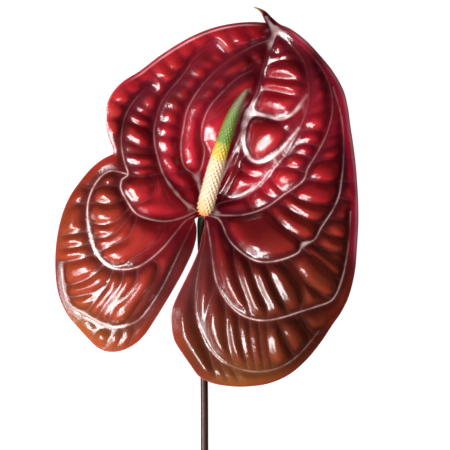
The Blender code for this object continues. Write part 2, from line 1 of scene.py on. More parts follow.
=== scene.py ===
"""The looks of the cut anthurium stem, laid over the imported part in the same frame.

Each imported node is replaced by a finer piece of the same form. The spathe follows the same readings and
the same formulas as the part's source, on a closer mesh, so that its veins and gloss come out sharply.
"""

import math

import bpy
import numpy as np
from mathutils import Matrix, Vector
from mathutils.geometry import delaunay_2d_cdt

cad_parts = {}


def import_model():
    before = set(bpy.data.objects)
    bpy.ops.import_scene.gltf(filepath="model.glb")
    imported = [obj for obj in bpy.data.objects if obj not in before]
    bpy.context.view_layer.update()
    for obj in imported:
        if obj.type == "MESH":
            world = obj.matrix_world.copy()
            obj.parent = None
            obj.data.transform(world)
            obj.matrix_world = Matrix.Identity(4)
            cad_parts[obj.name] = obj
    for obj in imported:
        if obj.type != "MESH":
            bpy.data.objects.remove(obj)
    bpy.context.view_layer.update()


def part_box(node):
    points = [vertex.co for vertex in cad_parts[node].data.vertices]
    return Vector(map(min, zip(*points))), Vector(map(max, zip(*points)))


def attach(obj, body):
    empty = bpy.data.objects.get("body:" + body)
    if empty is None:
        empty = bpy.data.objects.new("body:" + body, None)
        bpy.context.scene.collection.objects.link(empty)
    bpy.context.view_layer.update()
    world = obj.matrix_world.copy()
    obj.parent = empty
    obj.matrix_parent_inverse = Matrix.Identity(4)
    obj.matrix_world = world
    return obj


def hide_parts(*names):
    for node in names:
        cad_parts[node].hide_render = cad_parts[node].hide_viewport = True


# Driving dimensions, as in the part's source
SPATHE_WIDTH = 0.157
SPATHE_THICKNESS = 0.0009
PILLOW_HEIGHT = 0.0044
EDGE_ROLL = 0.0007
EDGE_ROLL_WIDTH = 0.0040
FULL_ROLL_HEIGHT = 0.006
SMOOTH_RIM = 0.0085
REST_SPOT_RADIUS = 0.0042
STALK_RADIUS = 0.0021
STALK_TOP_RADIUS = 0.0019
SINK = 0.0004

# The view that the pixels were read in
SPATHE_WIDTH_PX = 302.5
PIXEL = SPATHE_WIDTH / SPATHE_WIDTH_PX
FRAME_PX = 450
VIEW_CENTRE = (225.0, 225.0)
VIEW_DISTANCE = 1.5
FOCUS_HEIGHT = 0.020
ORIGIN_PX = (206.477, 406.754)
MM = 0.001
SENSOR_WIDTH = 36.0

# Mesh spacing, in pixels of the same view, and how near each kind of point may come to the others
OUTLINE_STEP = 1.5
RIM_STEP = 1.6
VEIN_STEP = 1.4
GRID_STEP = 1.7
VEIN_TO_RIM = 0.9
VEIN_TO_VEIN = 0.85
GRID_TO_RIM = 1.1
GRID_TO_OTHERS = 1.2
SIDE_ROWS = {"main": (0.9, 1.9), "cross": (0.9,)}
SIDE_GAP = 0.7
SLOPE_REACH = 0.5
SAME_POINT = 1e-5
CURVE_STEPS = 12
VEIN_STEPS = 5

# The blade's edge: how thin it gets, over what width, and how far its middle stands out
EDGE_THICKNESS = 0.00055
EDGE_TAPER = 0.003
EDGE_BULGE = 0.0002

# The spadix: florets around and along it, and the finer mesh that carries them. Pairs give the value at
# its foot and at its tip. The florets get flatter, and their stigmas shorter, over shares of its length.
FLORETS_AROUND = 13
SPADIX_SIDES = 104
SPADIX_STEP = 0.00027
FLORET_PITCH = (0.0021, 0.00175)
FLORET_HEIGHT = (0.00050, 0.00022)
FLATTER_FROM = 0.375
# The share of a floret's height by which its grooves are sunk, and the radius below which florets get smaller
GROOVE_SHARE = 0.6
SLIM_RADIUS = 0.003
# Stigmas: their foot's height and their extra rise are shares of the floret's height
STIGMA_RADIUS = 0.00032
STIGMA_LENGTH = (0.00065, 0.00012)
STIGMA_FOOT = 0.25
STIGMA_RISE = 0.15
OPEN_UNTIL = 0.409
SHUT_FROM = 0.864
STIGMA_SIDES = 6

# The stalk's mesh
STALK_SIDES = 40
STALK_STEP = 0.002

# Veins: how far the spathe dips along them, as a share of the pillow height, and how wide the dip is
MAIN_VEIN = (1.0, 0.0044)
CROSS_VEIN = (0.62, 0.0025)
FAINT_VEIN = (0.34, 0.0028)
VEIN_REACH = 3
# A vein's own cord, which stands up a little along the bottom of the dip
CORD_HEIGHT = 0.00016
CORD_WIDTH = 0.00042

# The spathe's edge, left lobe first, round the tip, to the right lobe. Each run ends at a sharp corner.
RIM_LEFT = [
    (200.5, 216.5), (194.6, 218.8), (196.2, 227), (196.3, 234), (195.2, 241), (192, 252), (187, 263),
    (181, 275), (172.5, 290), (163, 306), (153, 322), (144, 335), (133, 345), (119, 351), (106, 351),
    (96, 346), (87, 337), (77, 326), (68, 315), (61, 301), (57, 286), (55.5, 268), (56, 248), (59, 228),
    (64, 210), (71, 195), (80, 182), (91, 169), (102, 160), (113.5, 154),
]
RIM_HOOD = [
    (113.5, 154), (113.6, 149), (110, 140), (107, 129), (106, 115), (108, 102), (114, 91), (124, 81),
    (140, 71), (157, 58), (175, 46), (195, 35), (215, 27.5), (235, 23.5), (252, 22.3), (266, 23),
]
RIM_TIP = [(266, 23), (264, 18.5), (261, 12.5), (257, 9), (253, 7.2)]
RIM_RIGHT = [
    (253, 7.2), (259, 8.4), (266, 12), (272, 18), (280, 24.5), (291, 29.5), (306, 41), (321, 57),
    (333, 72), (343, 90), (347.5, 107), (350, 125), (353, 145), (355.5, 165), (357, 185), (358, 205),
    (358, 225), (356.5, 250), (354.5, 272), (349, 295), (341, 312), (332, 325), (320, 343), (305, 361),
    (288, 375), (268, 383.5), (245, 386.5), (225, 385.5), (210, 382), (199, 376), (190, 364),
    (183, 354), (175, 341), (172, 327), (172, 312), (175, 302), (181, 289), (188, 275), (195, 260),
    (199.5, 248), (202, 236), (204.4, 226), (204.6, 220), (203.2, 217.4), (200.5, 216.5),
]

# The main veins, which start at the spathe's base and loop round each lobe
MAIN_VEINS = {
    "midrib": [
        (203, 213), (214, 190), (232, 155), (240, 135), (248, 114), (256, 95), (262, 72), (269, 48),
        (273, 32), (266, 17),
    ],
    "right 1": [
        (208, 210), (222, 203), (243, 197), (262, 184), (276, 166), (289, 150), (301, 125), (307, 108),
        (309, 88), (304, 62), (290, 42), (277, 28),
    ],
    "right 2": [
        (209, 214), (226, 216), (246, 215), (266, 208), (284, 195), (303, 181), (308, 168), (317, 153),
        (327, 132), (332, 110), (330, 88), (320, 66), (303, 46), (287, 34),
    ],
    "right 3": [
        (209, 216), (218, 219), (223, 226), (227, 236), (234, 246), (248, 257), (262, 262), (280, 260),
        (297, 253), (303, 244.5), (314, 239.5), (321, 227), (331, 212), (338, 197), (341, 180), (343, 160),
        (343, 135), (340, 112), (333, 88),
    ],
    "right 4": [
        (207, 222), (211, 245), (213.5, 264), (217, 282), (225, 298), (237, 311.5), (251, 318.5),
        (266, 320), (282, 317), (299, 311.5), (316, 306), (332, 299), (341, 280), (346, 258), (349, 235),
        (350, 212),
    ],
    "right 5": [
        (205.5, 226), (204, 246), (199, 270), (196, 295), (198, 320), (207, 343), (219, 358), (232, 365.5),
        (246, 370), (262, 371), (279, 367), (294, 358), (306, 346), (318, 331),
    ],
    "right of midrib": [
        (249, 113), (244.5, 122), (242.8, 132), (244, 143), (246.5, 151), (251, 158.5), (258, 162),
        (267, 160), (275, 154.5), (283, 147.5), (291, 138), (299, 128),
    ],
    "right of star": [
        (249, 113), (258, 114), (268, 116.5), (278, 118.8), (287, 117), (294, 112.5), (300, 105), (307, 95),
    ],
    "left 0": [
        (195.5, 176), (201, 167), (204, 150), (201, 137), (203, 122), (210, 106), (224, 90), (238, 77),
        (252, 70),
    ],
    "left 1": [
        (201, 208), (199, 188), (195.5, 176), (184.5, 167), (181, 155), (181, 142), (183, 130), (187, 110),
        (197, 92), (212, 74), (232, 58), (252, 46), (268, 40),
    ],
    "left 2": [
        (196, 211), (186, 204), (178, 196), (167.5, 182.5), (161.7, 171), (157, 155), (154.5, 142),
        (154, 130), (156, 120), (161, 103), (169, 91), (184, 73), (196, 56), (215, 44),
    ],
    "left 3": [
        (194, 212), (181, 218), (165, 221.5), (150, 219.5), (136, 213.5), (127, 201), (121, 189),
        (122, 180), (128, 174), (124, 160), (121, 140), (124, 118), (134, 100), (150, 84),
    ],
    "left 4": [
        (194, 216), (184, 222), (173, 235), (163, 247), (151, 258), (137, 267), (121, 269), (108, 265),
        (97, 253), (91, 236), (88, 218), (89, 200), (97, 182), (110, 171), (127, 174),
    ],
    "left 5": [
        (194.5, 220), (187, 235), (177, 256), (165, 281), (152, 303), (139, 319), (127, 324.5),
        (113, 326.5), (99, 321.5), (85, 313), (70, 304), (64, 288), (62, 268),
    ],
}

# The cross veins, which part the bands between the main veins into pillows
CROSS_VEINS = {
    "left of the midrib": [
        [(262, 72), (252, 60), (246, 50)],
        [(256, 95), (245, 92), (234, 98), (224, 107), (214, 116), (203, 122)],
        [(203.5, 152), (212, 158), (222, 168)],
    ],
    "midrib to right 1": [
        [(269, 50), (278, 53.5), (288, 49), (294, 44)],
        [(264, 66), (274, 62), (286, 60), (297, 60), (303.5, 61)],
        [(261, 78), (272, 77.5), (284, 78.5), (296, 80), (308, 83)],
        [(257, 92), (268, 90.5), (280, 92), (292, 94.8), (305, 98)],
        [(283, 118.5), (283.5, 126), (289, 131), (298, 128)],
        [(242, 168), (252, 175), (262, 176), (268, 174)],
        [(247, 152), (241, 163), (237, 176), (231, 188), (222, 200)],
    ],
    "right 1 to right 2": [
        [(249, 194), (250, 203), (255, 212)],
        [(262, 186), (268, 194), (277, 200)],
        [(270, 174), (277, 184), (285, 193)],
        [(277, 166), (290, 167), (305, 172)],
        [(283, 157), (297, 153), (313, 159)],
        [(291, 147), (305, 143), (320, 146)],
        [(299, 130), (312, 129), (327, 131)],
        [(306, 113), (317, 111.5), (330, 105)],
        [(307.5, 106), (318, 102), (331, 94)],
        [(309, 95), (316, 89), (327, 80)],
        [(309, 82), (316, 74), (323, 69)],
        [(306, 68), (311, 58), (314, 59)],
        [(300, 54), (306, 49)],
    ],
    "right 2 to right 3": [
        [(268, 208), (276, 220), (283, 228.5), (291, 234.5), (298, 238.5), (303, 244)],
        [(281, 204), (291, 211), (302, 218.5), (312, 222.5), (320, 222.5), (326, 219.5)],
        [(291, 192.5), (300, 199.5), (312, 203.5), (324, 205), (335.5, 203)],
        [(305, 178.5), (311, 180), (320, 182), (330, 183), (341, 180.5)],
        [(312, 163), (320, 160.5), (331, 159.5), (343, 157)],
        [(319, 148), (330, 146), (343, 141)],
        [(325, 136), (334, 134), (343, 130)],
        [(329, 124), (336, 121), (341, 118)],
        [(332, 108), (337, 105)],
    ],
    "right 3 to the edge": [
        [(343, 157), (353, 158)],
        [(341, 181), (347, 181.5), (354, 181)],
        [(338, 197), (345, 199), (354, 201)],
        [(328, 217), (338, 220), (353, 223)],
        [(320.5, 228), (330, 236), (343, 240), (353, 241)],
        [(312, 241.5), (318, 247.5), (328, 250.5), (341, 253), (352, 256)],
    ],
    "right 3 to right 4": [
        [(318, 248), (327, 256.5), (338, 262.5), (346, 266)],
        [(302, 247), (311, 256), (323, 267), (334, 276.5), (342, 282)],
        [(289, 258), (296, 269), (304, 281), (314, 290), (325, 296), (334, 299)],
        [(281, 260), (289, 271), (297, 284), (301, 297), (300, 311)],
        [(266, 262), (270, 275), (277, 292), (284, 305), (290, 315)],
        [(248, 257), (253, 272), (259, 290), (266, 306), (268, 320)],
        [(233.5, 246), (236, 262), (241, 282), (247, 300), (252, 318)],
    ],
    "right 4 to right 5": [
        [(217, 282), (213, 296), (208, 312), (206, 328), (209, 345)],
        [(225.5, 298), (227, 315), (228, 335), (231, 352), (237, 367)],
        [(239, 312.5), (240, 330), (243, 348), (249, 369)],
        [(250, 318.5), (250, 335), (252, 350), (257, 370)],
        [(259, 320), (259, 338), (261, 352), (265, 370.5)],
        [(268, 320), (266, 335), (268, 352), (273, 368)],
        [(277, 318), (281, 333), (289, 349), (296, 357)],
        [(294, 313.5), (301, 325), (309, 338), (314, 343)],
        [(300, 311.5), (304, 322), (311, 331), (317, 334.5), (323, 330), (328, 323)],
    ],
    "right 5 to the edge": [
        [(208, 345), (212, 360), (217, 376)],
        [(219, 358), (224, 370), (230, 383)],
        [(232, 365.5), (236, 374), (241, 384)],
    ],
    "left 0 to left 1": [
        [(184.5, 120), (194, 115), (204, 117)],
        [(191, 101), (200, 97), (213, 102)],
        [(200, 88), (209, 84), (221, 93)],
        [(214, 73), (226, 76), (238, 77)],
    ],
    "left 1 to left 2": [
        [(174, 192), (184, 187), (196, 184)],
        [(160, 167), (170, 171), (180, 171), (188, 169)],
        [(155.5, 149), (166, 153), (175, 157), (181, 156)],
        [(154, 135), (164, 136), (173, 136), (182, 139)],
        [(156, 120), (166, 122), (176, 124), (183, 129)],
        [(161, 104), (171, 108), (180, 114), (185, 119)],
        [(169, 91), (178, 97), (188, 107)],
        [(176, 82), (186, 86), (195, 95)],
        [(185, 72), (194, 76), (203, 84)],
        [(191, 62), (202, 65), (213, 73)],
        [(199, 54), (210, 57), (222, 66)],
        [(208, 47), (220, 49), (233, 57)],
    ],
    "left 2 to left 3 and the edge": [
        [(128, 174), (135, 176.5), (146, 176.5), (162, 172.5)],
        [(150, 176.5), (154, 186), (150, 197), (140, 203), (130, 205)],
        [(124, 164), (135, 166), (150, 166), (159, 164)],
        [(122, 152), (135, 153), (146, 154), (156, 153)],
        [(110, 137), (121, 140), (129, 142), (141, 147), (154, 147)],
        [(111, 119), (123, 119), (137, 125), (154, 132)],
        [(112, 101), (124, 104), (138, 111), (156, 120)],
    ],
    "the hood's top": [
        [(122, 87), (134, 96), (152, 111), (159, 110)],
        [(134, 76), (144, 84), (157, 94), (166, 97)],
        [(146, 67), (155, 73), (166, 82), (176, 84)],
        [(160, 58), (170, 67), (185, 72)],
        [(174, 48), (184, 57), (196, 57)],
        [(188, 40), (198, 48), (208, 48)],
        [(205, 33), (214, 42), (222, 50), (232, 58)],
        [(224, 28), (233, 40), (243, 51)],
        [(243, 25), (250, 36), (256, 45)],
    ],
    "left 3 to left 4": [
        [(93, 189), (104, 186), (121, 186)],
        [(88.5, 204), (100, 203), (112, 204), (125, 198)],
        [(88.5, 221), (103, 224.5), (116, 221.5), (130, 207.5)],
        [(91, 236), (104, 237), (118, 231.5), (133, 211.5)],
        [(97, 253.3), (108.8, 247), (126.5, 238.8), (132, 230.6), (136, 220.4), (137, 214)],
        [(122, 269), (131, 259), (146, 249), (158, 240), (166, 222)],
    ],
    "left 4 to the edge": [
        [(93, 189), (82, 187), (75, 189)],
        [(88.5, 203), (76, 204), (66, 208)],
        [(90, 230), (76, 233), (60, 235)],
        [(93, 243), (78, 246), (59, 248)],
        [(97, 253), (82, 258), (67, 261), (59, 262)],
    ],
    "left 4 to left 5": [
        [(105, 264), (95, 274), (84, 280), (64, 286)],
        [(114, 268), (110, 280), (103, 292), (92, 306), (85, 313)],
        [(106, 286), (96, 291), (84, 294), (68, 297)],
        [(124, 269), (122, 281), (114, 294), (104, 308), (96, 320)],
        [(138, 267), (136, 280), (127, 293), (115, 306), (108, 325)],
        [(151, 258), (157, 266), (151, 285), (139, 303), (128, 320)],
    ],
    "left 5 to the edge": [
        [(85, 313), (79, 318), (74, 320)],
        [(102, 323), (96, 332), (90, 339)],
        [(113, 326.5), (110, 338), (105, 348)],
        [(124, 325), (122, 336), (116, 348)],
        [(135, 321), (134, 332), (129, 344)],
    ],
}

# The bands whose cross veins are hardly sunk
FAINT_BANDS = ("left 0 to left 1", "left 1 to left 2", "the hood's top")

# Where the raised back of the midrib rests flat on the surface
REST_SPOT = (214.0, 193.0)

# Heights of the spathe's middle surface along its veins, in millimetres: x, y, height
SUPPORT = 0.45
MARGIN_SUPPORT = 0.2
HEIGHTS_MM = [
    # The edge, from the base round the left lobe, the hood, the tip and the right lobe
    (200.5, 216.5, 6.6), (195.5, 241, 12.0), (187, 263, 15.5), (172.5, 290, 15.0), (153, 322, 11.0),
    (133, 345, 6.5), (106, 351, 3.0), (87, 337, 0.9), (77, 326, MARGIN_SUPPORT), (61, 301, 1.7),
    (55.5, 268, 6.5), (59, 228, 11.5), (71, 195, 15.5), (91, 169, 19.0), (113.5, 154, 24.5),
    (107, 129, 30.5), (108, 102, 35.0), (124, 81, 38.0), (157, 58, 39.5), (195, 35, 40.5),
    (235, 23.5, 38.5), (262, 22.5, 36.0), (261, 12.5, 35.0), (253, 7.2, 37.0), (272, 18, 32.0),
    (291, 29.5, 31.0), (321, 57, 28.0), (343, 90, 23.5), (350, 125, 19.0), (355.5, 165, 15.5),
    (358, 215, 12.0), (356, 250, 8.5), (349, 295, 2.5), (332, 325, MARGIN_SUPPORT), (305, 361, 1.2),
    (268, 383.5, 5.5), (225, 385.5, 10.0), (199, 376, 12.0), (183, 354, 12.5), (172, 327, 13.5),
    (175, 302, 15.0), (188, 275, 16.0), (199.5, 248, 14.0), (204.5, 226, 9.0),
    # The left lobe's dome
    (165, 235, 22.0), (130, 262, 24.5), (100, 280, 17.5), (120, 310, 15.5), (150, 285, 20.5),
    (75, 285, 8.5), (100, 220, 22.5), (80, 240, 16.5), (140, 200, 24.5), (112, 185, 24.0),
    (85, 205, 19.5),
    # The right lobe's dome
    (225, 250, 21.0), (245, 290, 27.0), (240, 335, 23.0), (285, 330, 17.5), (300, 290, 22.0),
    (322, 300, 12.0), (270, 360, 13.0), (215, 350, 18.5), (195, 330, 17.0), (270, 235, 26.0),
    (300, 225, 26.0), (335, 230, 18.5), (215, 290, 22.5),
    # The hood on the left, above the notch
    (170, 190, 18.0), (150, 150, 22.5), (130, 120, 25.5), (150, 95, 28.5), (180, 70, 31.5),
    (213, 50, 32.0), (170, 130, 21.5), (195, 110, 22.5), (195, 160, 14.0), (215, 80, 26.5),
    (225, 120, 18.0), (240, 50, 31.0), (246, 75, 25.0),
    # The gutter along the midrib, whose back is the third low point
    (203, 211, 6.2), (214, 193, SUPPORT), (232, 155, 7.0), (248, 116, 14.0), (262, 74, 21.5),
    (271, 46, 26.0), (273, 32, 27.5),
    # The wall on the right, up to its crest along the first vein, and its outer side
    (285, 75, 26.5), (300, 72, 30.0), (306, 95, 29.5), (300, 125, 27.5), (287, 152, 22.0),
    (270, 130, 21.0), (262, 160, 15.5), (245, 185, 8.5), (225, 203, 3.5), (250, 205, 10.0),
    (280, 185, 19.0), (310, 180, 25.0), (325, 150, 24.0), (330, 110, 25.5), (322, 80, 28.5),
    (305, 50, 30.5), (290, 48, 28.5),
]

# The spadix's axis, from the spathe up to its tip: x, y, height in millimetres
SPADIX_AXIS = [
    (203.2, 212.2, 7.5), (204.2, 210.3, 9.5), (205.6, 206, 12.8), (208, 196.5, 16.8),
    (212, 182, 22.4), (220, 153, 33.8), (230.4, 121.3, 46.0), (236.4, 107.5, 51.4), (241.5, 98.4, 55.0),
    (247.5, 88.7, 58.8),
]
# Its radius in millimetres at shares of its length
SPADIX_RADII = [
    (0.0, 2.2), (0.03, 3.4), (0.07, 4.05), (0.15, 4.2), (0.30, 4.2), (0.45, 3.85), (0.60, 3.4),
    (0.75, 2.95), (0.86, 2.4), (0.93, 1.8), (0.975, 1.2), (1.0, 0.45),
]

# The stalk's centre line, from its cut end to the spathe's back: x, y, height in millimetres
STALK_LINE = [
    (205.6, 797, 2.1), (204.9, 620, 2.1), (204.5, 450, 2.1), (204.2, 383, 2.1), (203.2, 320, 2.1),
    (202.0, 270, 2.1), (201.2, 244, 2.1), (200.9, 232, 2.2), (200.8, 224, 2.7), (201.4, 219.3, 3.8),
    (202.6, 215.6, 5.4),
]

# How pale each main vein is, and how pale the cross veins are; their lines are partly the veins' own paler
# tissue and partly a painted highlight
MAIN_PALENESS = {
    "midrib": 0.35, "right 1": 0.25, "right 2": 0.6, "right 3": 1.0, "right 4": 0.8, "right 5": 0.25,
    "right of midrib": 0.9, "right of star": 0.9, "left 0": 0.6, "left 1": 0.9, "left 2": 1.0,
    "left 3": 1.0, "left 4": 0.75, "left 5": 0.5,
}
CROSS_PALENESS = 0.05
# How wide the pale lines are, and how wide they are round the star
PALE_LINE = 0.00031
BROAD_LINE = 0.00070
BROAD_VEINS = ("right of midrib", "right of star")
# The least depth of the painted shade that darkens the colour in each dip
SHADE_DEPTH = 0.6

# Soft patches of colour on the spathe: x, y, radius, strength, in pixels
PATCHES = {
    "brown": [
        (70, 240, 62, 1.0), (88, 318, 60, 0.95), (140, 335, 45, 0.7), (335, 250, 45, 0.7),
        (332, 300, 50, 0.8), (295, 352, 60, 0.9), (235, 378, 60, 0.9), (188, 345, 40, 0.85),
        (96, 190, 34, 0.7), (270, 300, 40, 0.45), (118, 138, 22, 0.3), (225, 335, 40, 0.5),
        (130, 285, 34, 0.6),
    ],
    "olive": [(228, 384, 30, 0.6), (270, 384, 30, 0.35), (100, 344, 26, 0.3), (76, 322, 18, 0.4)],
    # Painted shadow: darker patches where cells of the hood and the right lobe lie in shade
    "painted_shadow": [
        (262, 230, 26, 0.75), (238, 270, 30, 0.85), (275, 290, 36, 0.9), (235, 335, 40, 0.75),
        (295, 335, 30, 0.6), (248, 60, 14, 0.65), (300, 56, 22, 0.5), (177, 99, 10, 0.7),
        (204, 56, 8, 0.65), (222, 62, 8, 0.4), (196, 362, 30, 0.9), (290, 215, 14, 0.4),
        (212, 330, 24, 0.5),
    ],
    # Painted light: brighter red where the pillows and the gaps between them lie in shade
    "painted_light": [
        (176, 212, 26, 0.95), (160, 240, 26, 0.7), (285, 100, 26, 0.4), (200, 165, 30, 0.6),
        (262, 180, 26, 0.6), (200, 130, 26, 0.7), (150, 200, 20, 0.5), (205, 50, 20, 0.4),
        (325, 120, 26, 0.5), (180, 160, 26, 0.5),
    ],
    # Magenta along the right edge: its own hue, brightened as painted light where that side lies in shade
    "lit_magenta": [
        (350, 100, 20, 0.9), (354, 135, 22, 1.0), (357, 170, 22, 1.0), (359, 205, 22, 1.0),
        (359, 240, 20, 0.8), (335, 72, 16, 0.6), (305, 40, 14, 0.5),
    ],
    # Painted highlight: white glare in the valleys where the veins meet
    "web": [
        (250, 113, 6, 1.0), (256, 163, 7, 1.0), (266, 160, 5, 0.9), (188, 206, 4, 0.9), (246, 124, 4, 0.8),
        (245, 138, 4, 0.8), (248, 151, 4, 0.9), (262, 115, 5, 0.9), (275, 118, 5, 0.9), (288, 116, 5, 0.8),
        (297, 108, 5, 0.4), (252, 104, 4, 0.8), (264, 14, 5, 0.8), (272, 24, 6, 0.8), (279, 36, 6, 0.7),
        (272, 44, 4, 0.5), (184, 202, 4, 0.8), (177, 194, 4, 0.7), (169, 184, 4, 0.6), (199, 198, 4, 0.8),
        (198, 187, 4, 0.7), (196, 178, 4, 0.6), (212, 208, 3, 0.7), (217, 213, 3, 0.7), (304, 243, 4, 0.6),
    ],
    # Painted highlight: a pale line where the rolled edge at the top left catches the light
    "rolled": [
        (142, 72, 12, 0.5), (165, 54, 16, 0.7), (190, 38, 18, 0.95), (222, 27, 18, 0.9), (246, 24, 12, 0.6),
    ],
    "maroon": [
        (190, 262, 20, 0.75), (176, 290, 22, 0.65), (160, 316, 18, 0.45), (205, 262, 16, 0.7),
        (192, 290, 20, 0.75), (184, 318, 18, 0.55), (210, 300, 22, 0.45),
    ],
    "tip": [(254.5, 8, 5.5, 1.0)],
    "veiled": [
        (150, 80, 55, 1.0), (210, 55, 60, 1.0), (260, 60, 50, 0.8), (320, 90, 50, 0.85), (300, 45, 30, 0.8),
        (124, 130, 34, 0.85), (160, 115, 26, 0.6), (345, 150, 30, 0.7), (350, 235, 26, 0.8),
        (190, 242, 20, 0.8), (204, 258, 22, 0.8), (196, 300, 26, 0.6), (205, 215, 8, 0.4),
    ],
}


def smooth(points, steps=CURVE_STEPS):
    """A Catmull-Rom curve through the points, sampled steps times between each two."""
    points = np.array(points, float)
    before = 2 * points[0] - points[1]
    after = 2 * points[-1] - points[-2]
    points = np.vstack([before, points, after])
    curve = []
    for p0, p1, p2, p3 in zip(points, points[1:], points[2:], points[3:]):
        for step in range(steps):
            t = step / steps
            curve.append(0.5 * (2 * p1 + (p2 - p0) * t + (2 * p0 - 5 * p1 + 4 * p2 - p3) * t**2
                                + (3 * p1 - p0 - 3 * p2 + p3) * t**3))
    curve.append(points[-2])
    return np.array(curve)


def resample(path, step):
    """The path at even distances of about step, with both ends kept."""
    lengths = np.concatenate([[0], np.cumsum(np.linalg.norm(np.diff(path, axis=0), axis=1))])
    count = max(1, round(lengths[-1] / step))
    at = np.linspace(0, lengths[-1], count + 1)
    return np.column_stack([np.interp(at, lengths, path[:, axis]) for axis in range(path.shape[1])])


def rim(step):
    """The closed edge of the spathe, with its sharp corners kept."""
    runs = [resample(smooth(run), step)[:-1] for run in (RIM_LEFT, RIM_HOOD, RIM_TIP, RIM_RIGHT)]
    return np.vstack(runs)


def distance_to(path, points):
    """How far each point is from the nearest stretch of the path."""
    nearest = np.full(len(points), np.inf)
    for start, end in zip(path, path[1:]):
        along = end - start
        share = ((points - start) @ along) / max(along @ along, 1e-12)
        foot = start + np.clip(share, 0, 1)[:, None] * along
        nearest = np.minimum(nearest, np.linalg.norm(points - foot, axis=1))
    return nearest


def inside(polygon, points):
    """Which points lie inside the polygon, by counting the edges that a ray crosses."""
    result = np.zeros(len(points), bool)
    for (x0, y0), (x1, y1) in zip(polygon, np.roll(polygon, -1, axis=0)):
        crosses = (points[:, 1] < y0) != (points[:, 1] < y1)
        if crosses.any():
            at = x0 + (points[:, 1] - y0) * (x1 - x0) / (y1 - y0)
            result ^= crosses & (points[:, 0] < at)
    return result


def vein_paths():
    """Each vein's smooth path, its kind, its dip's depth and width, and its line's paleness and width."""
    for name, points in MAIN_VEINS.items():
        line = BROAD_LINE if name in BROAD_VEINS else PALE_LINE
        yield smooth(points, VEIN_STEPS), "main", MAIN_VEIN, (MAIN_PALENESS[name], line)
    for band, paths in CROSS_VEINS.items():
        dip = FAINT_VEIN if band in FAINT_BANDS else CROSS_VEIN
        for points in paths:
            yield smooth(points, VEIN_STEPS), "cross", dip, (CROSS_PALENESS, PALE_LINE)


def place(points, heights):
    """The point in space that the camera saw at each pixel, at the given height."""
    nearness = (VIEW_DISTANCE - heights) / (VIEW_DISTANCE - FOCUS_HEIGHT)
    x = (points[:, 0] - VIEW_CENTRE[0]) * nearness + VIEW_CENTRE[0] - ORIGIN_PX[0]
    y = (points[:, 1] - VIEW_CENTRE[1]) * nearness + VIEW_CENTRE[1] - ORIGIN_PX[1]
    return np.column_stack([x * PIXEL, -y * PIXEL, heights])


def bend(distance):
    """The thin plate's kernel, r squared times log r."""
    return distance**2 * np.log(np.maximum(distance, 1e-9))


class Spathe:
    """The spathe's middle surface: a thin plate through the heights, with its edge rolled down."""

    def __init__(self):
        knots = np.array(HEIGHTS_MM)
        self.knots = knots[:, :2]
        self.outline = rim(OUTLINE_STEP)
        self.veins = list(vein_paths())
        count = len(knots)
        flat = np.column_stack([np.ones(count), self.knots])
        system = np.zeros((count + 3, count + 3))
        system[:count, :count] = bend(np.linalg.norm(self.knots[:, None] - self.knots[None], axis=2))
        system[:count, count:] = flat
        system[count:, :count] = flat.T
        wanted = np.concatenate([knots[:, 2] * MM, np.zeros(3)])
        self.weights = np.linalg.solve(system, wanted)

    def edge_distance(self, points):
        closed = np.vstack([self.outline, self.outline[:1]])
        return distance_to(closed, points) * PIXEL

    def heights(self, points):
        count = len(self.knots)
        kernel = bend(np.linalg.norm(points[:, None] - self.knots[None], axis=2))
        plate = kernel @ self.weights[:count] + self.weights[count] + points @ self.weights[count + 1:]
        turned = np.clip(1 - self.edge_distance(points) / EDGE_ROLL_WIDTH, 0, 1)
        room = np.clip(plate / FULL_ROLL_HEIGHT, 0, 1)
        return plate - EDGE_ROLL * room * turned**2

    def surface(self, points):
        """Each point's place on the middle surface and the surface's normal there."""
        centre = place(points, self.heights(points))
        right = points + (SLOPE_REACH, 0)
        left = points - (SLOPE_REACH, 0)
        up = points - (0, SLOPE_REACH)
        down = points + (0, SLOPE_REACH)
        along_x = place(right, self.heights(right)) - place(left, self.heights(left))
        along_y = place(up, self.heights(up)) - place(down, self.heights(down))
        normal = np.cross(along_x, along_y)
        return centre, normal / np.linalg.norm(normal, axis=1)[:, None]

    def veined(self, points):
        """The veins' readings at each point: how full its pillow is, from 0 on a main vein, how deep the
        painted shade in its dip is, how pale the nearest vein's line is, partly a painted highlight, and how
        far its cord stands up."""
        level = np.ones(len(points))
        shade = np.ones(len(points))
        pale = np.zeros(len(points))
        cord = np.zeros(len(points))
        for path, kind, (depth, width), (paleness, line) in self.veins:
            reach = VEIN_REACH * width / PIXEL
            near = np.all((points > path.min(0) - reach) & (points < path.max(0) + reach), axis=1)
            away = distance_to(path, points[near]) * PIXEL
            dip = np.exp(-(away / width) ** 2)
            level[near] *= 1 - depth * dip
            # Painted shade: how dark the colour gets in each dip between the pillows
            shade[near] *= 1 - max(depth, SHADE_DEPTH) * dip
            pale[near] = np.maximum(pale[near], paleness * np.exp(-(away / line) ** 2))
            if kind == "main":
                cord[near] = np.maximum(cord[near], np.exp(-(away / CORD_WIDTH) ** 2))
        return level, shade, pale, cord

    def relief(self, points, level, cord):
        """How far the pillows stand up between the veins, and the veins' cords in the dips."""
        share = np.clip(self.edge_distance(points) / SMOOTH_RIM, 0, 1)
        return (PILLOW_HEIGHT * level + CORD_HEIGHT * cord) * share**2 * (3 - 2 * share)


def thin_out(points, kept, gap):
    """The points that are at least gap from every kept point and from each other."""
    chosen = []
    cells = {}
    for x, y in kept:
        cells.setdefault((int(x // gap), int(y // gap)), []).append((x, y))
    for x, y in points:
        column, row = int(x // gap), int(y // gap)
        near = [p for i in (-1, 0, 1) for j in (-1, 0, 1) for p in cells.get((column + i, row + j), [])]
        if all((x - a) ** 2 + (y - b) ** 2 >= gap**2 for a, b in near):
            chosen.append((x, y))
            cells.setdefault((column, row), []).append((x, y))
    return np.array(chosen).reshape(-1, 2)


def within(spathe, points, margin):
    """The points that lie inside the spathe's edge and at least margin pixels from it."""
    points = points[inside(spathe.outline, points)]
    return points[spathe.edge_distance(points) > margin * PIXEL]


